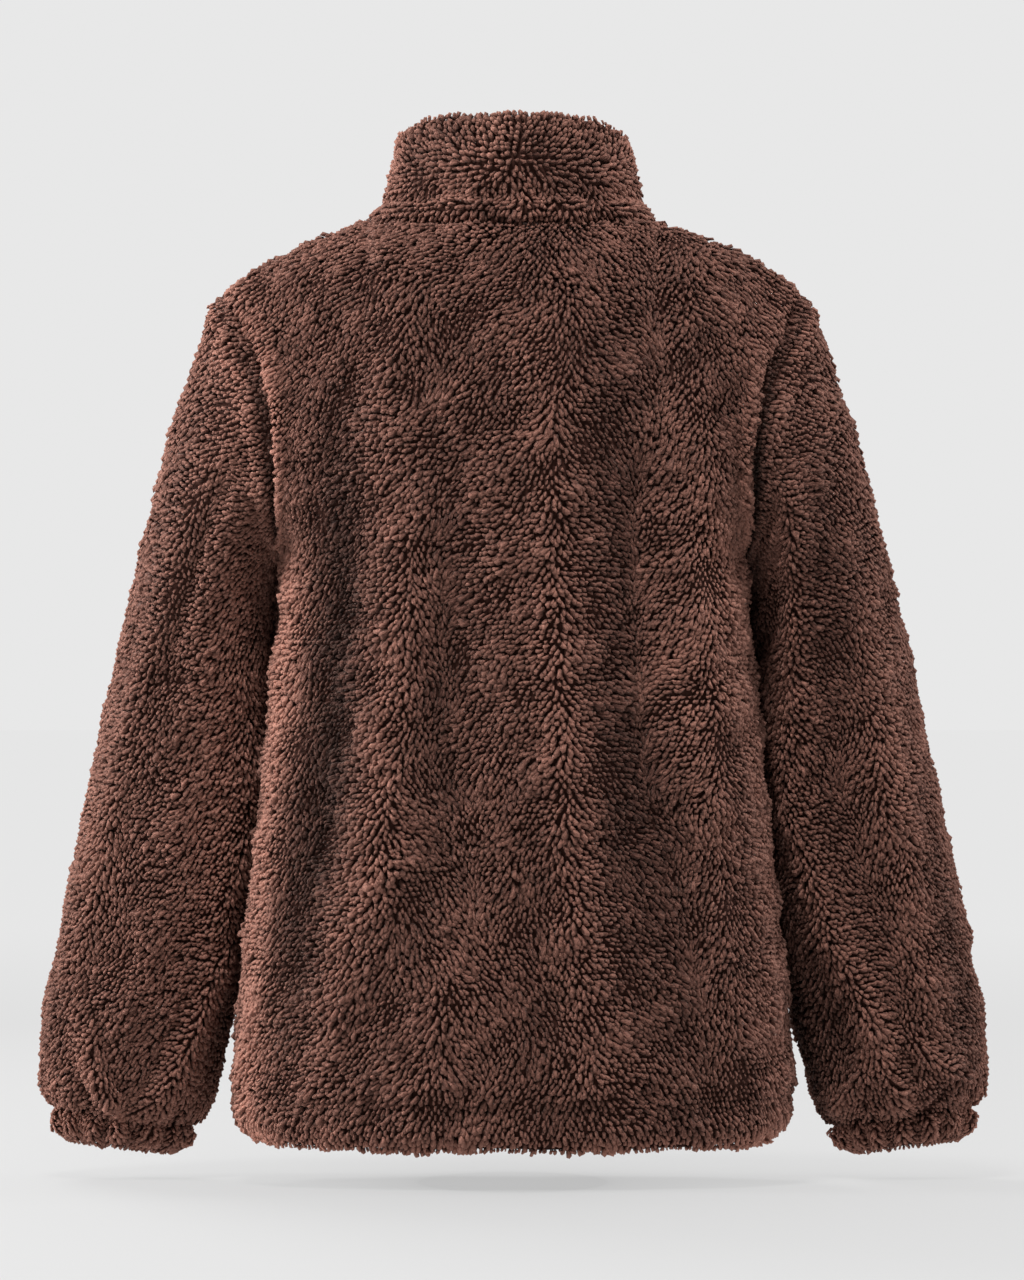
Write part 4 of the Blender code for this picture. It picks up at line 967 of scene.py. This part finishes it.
def sleeveSurface(loop, side, seed):
    # ovals from the armhole to the cuff; the first row is the armhole's seam, whose own outline fades out below it
    look = sleeveLook
    start, startInner, off = loop
    turn = turns(len(start))
    hanging = spread(sleeveRows[:-3], look["long"] + 1, [0, 1, 2, 3])
    rows = np.concatenate([hanging, spread(sleeveRows[-4:], look["puff"] + 1)[1:]])
    middles, halves = sections(rows, rows[:, 4])
    offset, half = start - middles[0], halves[0]
    startHeight, startDepth = offset @ half / (half @ half), offset[:, 1] / rows[0][5]
    rest = (offset - startHeight[:, None] * half) * [1, 0, 1]
    oval = rows[:, 6].clip(0, 1)[:, None]
    up = startHeight * (1 - oval) - np.cos(turn) * oval
    behind = startDepth * (1 - oval) + np.sin(turn) * oval
    grid = (middles[:, None] + up[..., None] * halves[:, None] + (behind * rows[:, 5:6])[..., None] * depthAxis
            + rest * ((1 - oval) ** 2)[..., None])
    grid[0] = start + off * look["seamGap"]
    normals = outwardNormals(grid)
    axis = unit(np.cross(halves[-1], depthAxis))
    normals[-1] = squareTo(normals[-1], axis)
    share = np.linspace(0, 1, len(rows))[:, None]
    around = np.degrees(turn)[None]
    fold = tubeFoldHeight(sleeveFolds[side], share, around)
    inner = grid + normals * (fold - cut["wall"])[..., None]
    inner[0] = startInner + off * look["seamGap"]
    nap = tubeFoldHeight(sleeveRidges[side], share, around)
    flip = np.array([1 if side == "left" else -1, 1, 1])
    fromSeam = rowDistance(grid)
    toCuff = rowDistance(grid[::-1])[::-1]
    shoulder = atShoulder(grid[:1, :, 2])
    seam = look["crown"] * bell(fromSeam - 0.015, 0.008)
    seam = seam + look["shoulderCrown"] * shoulder * bell(fromSeam - 0.018, 0.015)
    seam = seam - look["seamDip"] * bell(fromSeam, look["seamDipWidth"]) * (1 - 0.6 * shoulder)
    pulled = ((share - look["gatherFrom"]) / (1 - look["gatherFrom"])).clip(0, 1)
    pulled = pulled**1.5 * (1 - 0.7 * pulled**6)
    gathers = look["gather"] * pulled * ripple(turn[None] + 0.12 * share, look["gathers"], seed)
    relief = fold + nap + seam + gathers + unevenness(look, grid * flip, seed) - 0.0010 * bell(toCuff, 0.004)
    points = (grid + normals * (relief - pile["sink"])[..., None]) * flip
    fresh = freshNormals(points, normals * flip, True)
    down = unit(np.gradient(points, axis=0))
    flow = pileField(points, fresh, nap + 0.6 * fold + 0.5 * gathers, tubeLayOf(sleeveLay[side], share, around),
                     unit(0.5 * down + 0.5 * straightDown), acrossSteps(points, True), seed, True)
    flow = unit(flow + down * (1.4 * bell(fromSeam, 0.010))[..., None])
    size = 1.0 + wander(look, "size", points, seed) + pile["sizeByHeight"] * nap + 22 * fold
    size = size - 0.10 * bell(fromSeam, 0.005) - 0.12 * bell(toCuff, 0.010)
    lean = 0.33 + wander(look, "lean", points, seed) + 0.15 * bell(toCuff, 0.012) + pile["leanByHeight"] * nap
    # painted light and shade: paler on ridges, darker in the folds' troughs, and the left sleeve paler than the right
    tone = wander(look, "tone", points, seed) + pile["toneByHeight"] * (nap + 0.8 * fold) + look["tone"][side]
    # painted shade darker in the armhole seam's dip, painted light on the crown beside it
    tone = tone - 3.0 * bell(fromSeam - 0.003, 0.0062) * (1 - 0.4 * shoulder) + 0.8 * bell(fromSeam - 0.015, 0.007)
    # paler towards the cuff, and bands of painted shade and painted light
    tone = tone + 0.6 * bell(share - 0.96, 0.09) + tubeFoldHeight(sleevePaintedShading[side], share, around)
    # painted shade: darker on the side of the body and under the arm
    inside = bell((around + 180) % 360 - 198, 14 + 12 * (1 - share / 0.5).clip(0, 1)) * (share / 0.05).clip(0, 1)
    paintedUnderarmShade = ((-0.130 - grid[:1, :, 2]) / 0.080).clip(0, 1) * bell(fromSeam, 0.022)
    tone = tone - look["inside"][side] * np.maximum(inside, paintedUnderarmShade)
    dense = 1 + look["finer"] * np.sin(turn)[None]
    return {"points": points, "normals": fresh, "flow": flow, "size": size * dense**-0.5, "lean": lean, "tone": tone,
            "around": True, "dense": dense}, inner * flip


cuffLook = {
    "rows": 24, "columns": 120, "middleY": -0.071, "inset": 0.0030, "turn": 0.0045, "gather": 0.0040, "gathers": 16,
    "bumps": [(0.0006, 0.020)],
    "wander": {"size": (0.06, 0.030), "lean": (0.12, 0.030), "tone": (0.20, 0.030)},
}


def cuffSurface(side, seed):
    # ovals that go on from the sleeve's last row, set in a little, with waves whose height wanders
    look = cuffLook
    turn = turns(look["columns"])
    rows = spread(cuffRows, look["rows"] + 1)
    middles, halves = sections(rows, look["middleY"])
    grid = middles[:, None] - np.cos(turn)[:, None] * halves[:, None]
    grid[..., 1] += rows[:, 4:5] * np.sin(turn)
    normals = outwardNormals(grid)
    axis = unit(np.cross(halves[0], depthAxis))
    normals = squareTo(normals, axis)
    grid = grid - normals * look["inset"]
    share = np.linspace(0, 1, len(rows))[:, None]
    body = np.sin(math.pi * (0.12 + 0.80 * share))
    gathers = look["gather"] * body * ripple(turn[None], look["gathers"], seed)
    flip = np.array([1 if side == "left" else -1, 1, 1])
    toEnd = rowDistance(grid[::-1])[::-1]
    turned = look["turn"] * (1 - toEnd / 0.009).clip(0) ** 2
    inner = grid - normals * cut["wall"] - normals * turned[..., None]
    uneven = unevenness(look, grid * flip, seed) - turned - 0.0020 * bell(rowDistance(grid), 0.004)
    points = (grid + normals * (gathers + uneven - pile["sink"])[..., None]) * flip
    fresh = freshNormals(points, normals * flip, True)
    flow = pileField(points, fresh, gathers * 0.5, 0.25 * drift(points, 0.03, seed + 6),
                     np.gradient(points, axis=0), acrossSteps(points, True), seed, True)
    size = 0.84 + 30 * gathers + wander(look, "size", points, seed) - 0.06 * bell(toEnd, 0.005)
    lean = 0.20 + wander(look, "lean", points, seed) - 0.14 * bell(toEnd, 0.008)
    # painted light and shade: paler on the gathers' ridges, darker between them
    tone = 440 * gathers + wander(look, "tone", points, seed) + 1.3
    return {"points": points, "normals": fresh, "flow": flow, "size": size, "lean": lean, "tone": tone,
            "around": True}, inner * flip


loop = armholeLoop()
for side, seed in (("left", 71), ("right", 91)):
    surface, inner = sleeveSurface(loop, side, seed)
    dress(f"sleeve_{side}", surface, inner, seed + 100)
    surface, inner = cuffSurface(side, seed + 7)
    dress(f"cuff_{side}", rimRows(surface, inner, False), inner, seed + 107, spacing=0.0033)


collarRings = np.array([  # share of the height, half width, depth behind, depth in front, wall
    (0.16, 0.0985, 0.0625, 0.0985, 0.0085),
    (0.28, 0.0935, 0.0585, 0.0950, 0.0100),
    (0.45, 0.0900, 0.0580, 0.0935, 0.0100),
    (0.75, 0.0850, 0.0565, 0.0900, 0.0100),
    (1.00, 0.0810, 0.0535, 0.0860, 0.0100),
])
collarLay = [
    (0.060, 0.080, 0.066, 0.000, 0.045, 1.10),
    (0.000, 0.080, 0.004, 0.000, 0.028, 0.90),
    (-0.030, 0.068, -0.030, 0.026, 0.018, -1.00),
    (-0.080, 0.080, -0.090, 0.000, 0.022, -1.20),
    (-0.058, 0.070, -0.062, 0.020, 0.013, 0.70),
]
collarLook = {
    "tilt": math.tan(math.radians(20)), "top": 0.075, "columns": 180, "rows": 42, "turnRows": 35,
    "creaseAt": 0.020, "crease": 0.0011, "creaseWidth": 0.0055,  # height above the seam at the centre back
    "rollAt": 0.010, "roll": 0.0010, "rollWidth": 0.006, "seamDip": 0.0018, "fuller": 0.0016,
    "cornerLift": 0.0036, "cornerAt": 0.066, "cornerWidth": 0.020, "middleDrop": 0.0012,  # of the top's outline behind
    "wander": {"size": (0.12, 0.040), "lean": (0.22, 0.035), "tone": (0.45, 0.050)},
}


def collarSurface(seed):
    # rings that narrow upwards from the neck seam to a tilted top, then over the edge and down the inside
    look = collarLook
    edgeAngle = math.asin(cut["frontEdge"] / collarRings[-1, 1])
    angle = np.linspace(-1, 1, look["columns"] + 1) * (math.pi - edgeAngle)
    behind = np.cos(angle)
    seamDepth = np.where(behind > 0, cut["neckBehind"], cut["neckInFront"])
    seam = np.stack([-cut["neckHalfWidth"] * np.sin(angle), seamDepth * behind,
                     -0.0015 - cut["neckDrop"] * (-behind).clip(0) ** 1.5 - 0.0012], axis=-1)
    rings = [seam]
    for share, halfWidth, depthBehind, depthInFront, _ in collarRings:
        y = np.where(behind > 0, depthBehind, depthInFront) * behind
        top = look["top"] - look["tilt"] * (collarRings[-1, 2] - y)
        rings.append(np.stack([-halfWidth * np.sin(angle), y, seam[:, 2] * (1 - share) + top * share], axis=-1))
    rings = spread(np.array(rings), look["rows"] + 1)
    lift = look["cornerLift"] * bell(np.abs(rings[-1, :, 0]) - look["cornerAt"], look["cornerWidth"])
    lift = (lift - look["middleDrop"]) * (0.5 + behind / 0.6).clip(0, 1)
    rings[..., 2] += lift * np.linspace(0, 1, len(rings))[:, None] ** 3
    rings[:, 0, 0], rings[:, -1, 0] = cut["frontEdge"], -cut["frontEdge"]
    normals = outwardNormals(rings, False)
    normals[:, [0, -1], 0] = 0
    normals[1:, :, 2] *= 0.3
    normals = unit(normals)
    height = rowDistance(rings)
    walls = smoothCurve(np.concatenate([[0], collarRings[:, 0]]), np.concatenate([[cut["wall"]], collarRings[:, 4]]),
                        np.linspace(0, 1, len(rings)))
    inner = rings - normals * walls[:, None, None]
    relief = look["roll"] * bell(height - look["rollAt"], look["rollWidth"])
    relief = relief - look["crease"] * bell(height - look["creaseAt"], look["creaseWidth"])
    relief = relief - look["seamDip"] * bell(height, 0.0035)
    nap = 0.0012 * drift(rings * [1, 1, 0.4], 0.05, seed + 9)
    relief = relief + nap + 0.0008 * drift(rings, 0.026, seed)
    outer = rings + normals * (relief + look["fuller"] - pile["sink"])[..., None]
    # over the top edge and down the inside
    top, topInner = outer[-1], inner[-1]
    middle, half = (top + topInner) / 2, (top - topInner) / 2
    arc = np.radians([30, 60, 90, 120, 150])[:, None, None]
    rim = middle + half * np.cos(arc) + np.array([0, 0, 0.0016]) * np.sin(arc)
    inside = (inner - normals * 0.0005)[::-1][: int(len(inner) * 0.93)]
    points = np.concatenate([outer, rim, inside])
    fresh = gridNormals(points)
    fresh = fresh * np.sign(dots(fresh[len(outer) // 2], normals[len(outer) // 2]).mean())
    ridge = np.concatenate([relief, np.zeros((len(rim) + len(inside), relief.shape[1]))])
    row = np.arange(len(points))[:, None]
    lay = layOf(collarLay, points[..., 0], points[..., 2]) * np.where(row < len(outer), 1, -1)
    aside = -unit(np.gradient(points, axis=1))
    # the pile turns sideways below the rim, then up and over it
    upwards = unit(np.gradient(points, axis=0))
    sideways = unit(np.cross(upwards, fresh))
    sideways = sideways * np.tanh(np.sign(sideways[..., :1]) * points[..., :1] / 0.012)
    turned = (1 - (len(outer) - 1 - row[..., None]) / look["turnRows"]).clip(0, 1)
    turned = math.pi * turned**2 * (3 - 2 * turned)
    combed = upwards * -np.cos(turned) + sideways * np.sin(turned)
    mixed = (turned / 0.8).clip(0, 1)
    down = (straightDown + 0.35 * fresh) * (1 - mixed) + combed * mixed
    flow = pileField(points, fresh, ridge, lay * (1 - 0.75 * mixed[..., 0]), down, aside, seed)
    edge = np.minimum(np.arange(points.shape[1]), np.arange(points.shape[1])[::-1])
    fromZip = edge[None] * np.linalg.norm(points[:, 1] - points[:, 0], axis=-1).mean()
    outward = np.zeros_like(points)
    outward[..., 0] = np.sign(points[..., 0])
    flow = flow + outward * (1.2 * bell(fromZip, 0.006))[..., None]
    flow = squareTo(flow, fresh)
    onRim = bell(row - (len(outer) + 2), 4.5)
    size = 0.98 + wander(look, "size", points, seed) - 0.20 * bell(fromZip, 0.006) - 0.08 * onRim
    lean = 0.36 + wander(look, "lean", points, seed) + onRim * (0.30 + 0.30 * (points[..., 0] / 0.08) ** 2)
    lean = lean + 0.20 * bell(row - (len(outer) - 6), 6)
    lean = lean + 0.60 * bell(points[..., 0], 0.016) * bell(turned[..., 0] - math.pi / 2, 1.0)  # closes the crown
    # painted light and shade: paler on the roll, darker in the crease
    tone = wander(look, "tone", points, seed) + 150 * ridge + 0.5
    size, lean, tone = (a + 0 * points[..., 0] for a in (size, lean, tone))
    return {"points": points, "normals": fresh, "flow": flow, "size": size, "lean": lean, "tone": tone,
            "around": False, "shellTo": len(outer), "crest": 0.0014}, inner


surface, inner = collarSurface(211)
dress("collar", surface, inner, 311, spacing=0.0041)
print("cloth and pile made")


zipLook = {
    "pitch": 0.0020,  # from one tooth to the next on the same side
    "toothStations": [0.0030, 0.0002, -0.0007],  # distances from the middle line, tape to tip
    "toothHalfLength": [0.00038, 0.00055, 0.00030], "toothHalfDepth": [0.00100, 0.00125, 0.00070], "toothSides": 6,
    "stitchAt": 0.0024, "stitchLong": 0.0017, "stitchHalf": 0.00017, "stitchRise": 0.00125, "stitchDip": 0.0002,
}


def chainPath():
    # the middle line of the chain's solid: the mean of each of its rows of corners, from hem to slider
    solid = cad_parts["zip_chain"].data
    places = np.empty(len(solid.vertices) * 3, np.float32)
    solid.vertices.foreach_get("co", places)
    places = np.unique(places.reshape(-1, 3).round(6), axis=0)
    places = places[np.argsort(places[:, 2])]
    rows = np.split(places, np.nonzero(np.diff(places[:, 2]) > 0.004)[0] + 1)
    return np.array([row.mean(axis=0) for row in rows])


def alongChain(distance):
    # place, direction and outward direction at distances along the chain from its foot
    place = smoothCurve(chainStations, chainLine, distance)
    ahead = unit(smoothCurve(chainStations, chainLine, distance + 0.0005)
                 - smoothCurve(chainStations, chainLine, distance - 0.0005))
    return place, ahead, np.stack([0 * distance, -ahead[:, 2], ahead[:, 1]], axis=-1)


chainLine = chainPath() * [0, 1, 1]
chainStations = runningSum(np.linalg.norm(np.diff(chainLine, axis=0), axis=1))
chainCount = int(chainStations[-1] / zipLook["pitch"]) - 1  # teeth on each side


def makeBars(name, distance, across, lengthwise, outwards, turned):
    # closed bars at distances along the chain: rings of corners joined by quads, given as how far each corner lies
    # across, along and out of the chain, and whether the corners run the other way round
    place, ahead, out = alongChain(distance)
    points = (place[:, None, None] + across[..., None] * np.array([1.0, 0, 0])
              + lengthwise[..., None] * ahead[:, None, None] + outwards[..., None] * out[:, None, None])
    count, stations, sides = points.shape[:3]
    ring = np.arange(sides)
    following = (ring + 1) % sides
    quads = np.concatenate([np.stack([k + ring, k + following, k + sides + following, k + sides + ring], axis=-1)
                            for k in range(0, (stations - 1) * sides, sides)])
    caps = np.stack([ring[::-1], (stations - 1) * sides + ring])
    plain, reverse = (np.concatenate([quads[:, ::way].ravel(), caps[:, ::way].ravel()]) for way in (1, -1))
    corners = np.where(turned[:, None], reverse, plain) + (stations * sides * np.arange(count))[:, None]
    print(f"{name}: {count} bars, {count * (2 * len(quads) + 2 * (sides - 2))} triangles")
    return putMesh(name, points.reshape(-1, 3), corners.ravel(), np.tile([4] * len(quads) + [sides] * 2, count))


def makeTeeth():
    # two rows of coil loops that cross the middle line in turn: six-sided bars with round heads
    at, long, deep = (np.array(zipLook[key])[:, None] for key in ("toothStations", "toothHalfLength", "toothHalfDepth"))
    turn = turns(zipLook["toothSides"])
    order = np.arange(2 * chainCount)
    side = np.where(order % 2 == 0, 1.0, -1.0)
    return makeBars("zip_teeth", (order + 1.0) * zipLook["pitch"] / 2, at * side[:, None, None] + 0 * turn,
                    (long * np.cos(turn))[None], (deep * np.sin(turn))[None], side < 0)


def makeStitches():
    # threads that hold the coil to its tapes: short spindles in two rows on the teeth
    turn = turns(4)
    side = np.repeat([1.0, -1.0], chainCount)[:, None, None]
    share = np.array([[-1.0], [0.0], [1.0]])
    thick = np.array([[0.3], [1.0], [0.3]]) * zipLook["stitchHalf"]
    across = side * zipLook["stitchAt"] + thick * np.cos(turn)
    rise = zipLook["stitchRise"] - zipLook["stitchDip"] * share**2 + thick * np.sin(turn)
    distance = np.tile((np.arange(chainCount) + 1.2) * zipLook["pitch"], 2)
    return makeBars("zip_stitches", distance, across, share * zipLook["stitchLong"] / 2 + 0 * across, rise + 0 * across,
                    np.ones(2 * chainCount, bool))


def makeTapeCloth():
    # herringbone tape: fine slanted threads that turn every few millimetres, darker between them
    finish = Finish("zip_tape_cloth", Roughness=0.85, Sheen_Weight=0.15, Sheen_Tint=(0.7, 0.5, 0.42, 1))
    place = finish.object()
    x, z = finish.part(place, "X"), finish.part(place, "Z")
    slant = (x * 785.5).math("SINE").math("ABSOLUTE") * 1.6
    threads = (z * 9000 + slant * 2).math("SINE") * 0.5 + 0.5
    weave = threads * 0.7 + ((x * 11000).math("SINE") * 0.5 + 0.5) * 0.3
    shade = weave * 0.6 + finish.noise(place, 900, 3.0) * 0.4
    return finish.finished(finish.mix(shade, (0.022, 0.0105, 0.0085), (0.085, 0.043, 0.034)), weave, 0.6, 0.0003)


def makeCoilNylon():
    # satin nylon, a little paler and rougher in patches
    finish = Finish("zip_coil_nylon", Specular_IOR_Level=0.5)
    patches = finish.noise(finish.object(), 420, 3.0)
    return finish.finished(finish.mix(patches, (0.028, 0.0145, 0.0115), (0.060, 0.034, 0.028)),
                           finish.noise(finish.object(), 2600, 2.0), 0.15, 0.0002, Roughness=patches * 0.25 + 0.26)


def makeThread():
    # spun thread: long fine streaks
    finish = Finish("zip_thread", Roughness=0.7, Sheen_Weight=0.2)
    twist = finish.noise(finish.stretch(finish.object(), (3000, 3000, 5200)), 1.0, 2.0)
    return finish.finished(finish.mix(twist, (0.045, 0.024, 0.019), (0.125, 0.068, 0.054)), twist, 0.4, 0.0002)


def makeDarkMetal():
    # satin dark plating with fine rub marks and cloudy wear
    finish = Finish("zip_dark_metal", Metallic=1.0)
    place = finish.object()
    rub = finish.noise(finish.stretch(place, (6000, 900, 420)), 1.0, 3.0)
    wear = finish.noise(place, 330, 4.0, 0.6)
    return finish.finished(finish.mix(wear, (0.085, 0.070, 0.064), (0.185, 0.160, 0.148)), rub, 0.10, 0.0002,
                           Roughness=rub * 0.20 + wear * 0.18 + 0.22)


teeth, stitches = makeTeeth(), makeStitches()
teeth.data.materials.append(makeCoilNylon())
stitches.data.materials.append(makeThread())
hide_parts("zip_chain")
tapeCloth, darkMetal = makeTapeCloth(), makeDarkMetal()
for name, material in (("zip_tape_left", tapeCloth), ("zip_tape_right", tapeCloth), ("zip_box", darkMetal),
                       ("zip_slider", darkMetal), ("zip_pull", darkMetal)):
    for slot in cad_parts[name].material_slots:
        slot.material = material
print("zip made")


studio = {
    "floor": -0.696, "reach": 40.0, "paper": 0.03,
    "glowInPaintedShadow": 0.51, "glowFar": 0.775, "nearTo": 0.15, "farFrom": 7.0,  # the paper's own light, by distance in metres: dimmest near the jacket as a painted shadow
    "paintedShadowNarrower": 2.2,  # how much narrower its dimmer middle, the painted shadow, is than deep
    "world": 0.13, "background": 0.806,
    "camera": (0.0007, 8.0, -0.303), "lens": 310.3,
    "lights": {  # place, aim, width, height, watts, spread in degrees
        "key": ((0.6, 2.1, 4.0), (0, 0, -0.30), 0.8, 0.8, 237, 180),
        "left_side": ((2.6, -0.05, 0.3), (0, 0, -0.25), 0.9, 1.6, 27, 100),
        "right_rim": ((-2.4, -0.6, 0.3), (0, 0, -0.25), 0.8, 1.6, 12, 100),
        "top": ((0.0, 0.1, 2.6), (0, 0, -0.30), 2.2, 2.2, 16, 180),
        "front": ((1.3, -3.2, 1.3), (0, 0, -0.25), 1.4, 1.4, 30, 120),
    },
}


def makePaper():
    # one flat sheet; its own light, dimmer near the jacket as a painted shadow, grows with distance, to meet the
    # background at the horizon
    reach = studio["reach"]
    corners = [(-reach, -reach), (reach, -reach), (reach, reach), (-reach, reach)]
    mesh = bpy.data.meshes.new("paper_floor")
    mesh.from_pydata([(x, y, studio["floor"]) for x, y in corners], [], [(0, 1, 2, 3)])
    paper = link("paper_floor", mesh)
    finish = Finish("pale_paper", Roughness=0.9, Emission_Strength=1.0)
    place = finish.object()
    x, y = finish.part(place, "X"), finish.part(place, "Y")
    away = ((((x * studio["paintedShadowNarrower"]) ** 2 + y**2) ** 0.5 - studio["nearTo"])
            * (1 / (studio["farFrom"] - studio["nearTo"]))).math("MAXIMUM", 0)
    near, far = ((studio[key],) * 3 for key in ("glowInPaintedShadow", "glowFar"))
    finish.feed(finish.shader, {"Emission Color": finish.mix(away.math("MINIMUM", 1) ** 0.35, near, far)})
    low, high = ((studio["paper"] * k,) * 3 for k in (0.992, 1.008))
    grain = finish.noise(place, 60, 3.0)
    finish.feed(finish.shader, {"Base Color": finish.mix(grain, low, high)})
    paper.data.materials.append(finish.material)


def aim(thing, place, target):
    # put a lamp at a place and turn its -Z axis to the target
    thing.location = place
    direction = np.subtract(target, place)
    thing.rotation_euler = (math.acos(-direction[2] / np.linalg.norm(direction)), 0,
                            math.atan2(direction[1], direction[0]) - math.pi / 2)


def placeStudio():
    # the lamps, the background and the photo's camera, level and straight behind the jacket
    scene = bpy.context.scene
    for name, (place, target, width, height, watts, spreadTo) in studio["lights"].items():
        lamp = bpy.data.lights.new(name, "AREA")
        lamp.spread = math.radians(spreadTo)
        lamp.shape, lamp.size, lamp.size_y, lamp.energy = "RECTANGLE", width, height, watts
        aim(link(name, lamp), place, target)
    world = bpy.data.worlds.new("studio")
    world.use_nodes = True
    # the background is pale behind everything, and weaker as a light
    background, rays = world.node_tree.nodes["Background"], world.node_tree.nodes.new("ShaderNodeLightPath")
    level = world.node_tree.nodes.new("ShaderNodeMapRange")
    level.inputs["To Min"].default_value, level.inputs["To Max"].default_value = studio["world"], studio["background"]
    world.node_tree.links.new(rays.outputs["Is Camera Ray"], level.inputs["Value"])
    world.node_tree.links.new(level.outputs["Result"], background.inputs["Strength"])
    background.inputs["Color"].default_value = (1, 1, 1, 1)
    scene.world = world
    lens = bpy.data.cameras.new("camera")
    lens.lens, lens.sensor_width, lens.sensor_fit = studio["lens"], 36, "AUTO"
    lens.clip_end = 100
    camera = link("camera", lens)
    camera.location = studio["camera"]
    camera.rotation_euler = (math.pi / 2, 0, math.pi)
    scene.camera = camera
    scene.view_settings.view_transform = "Standard"
    scene.view_settings.look = "None"


makePaper()
placeStudio()
print("studio made")
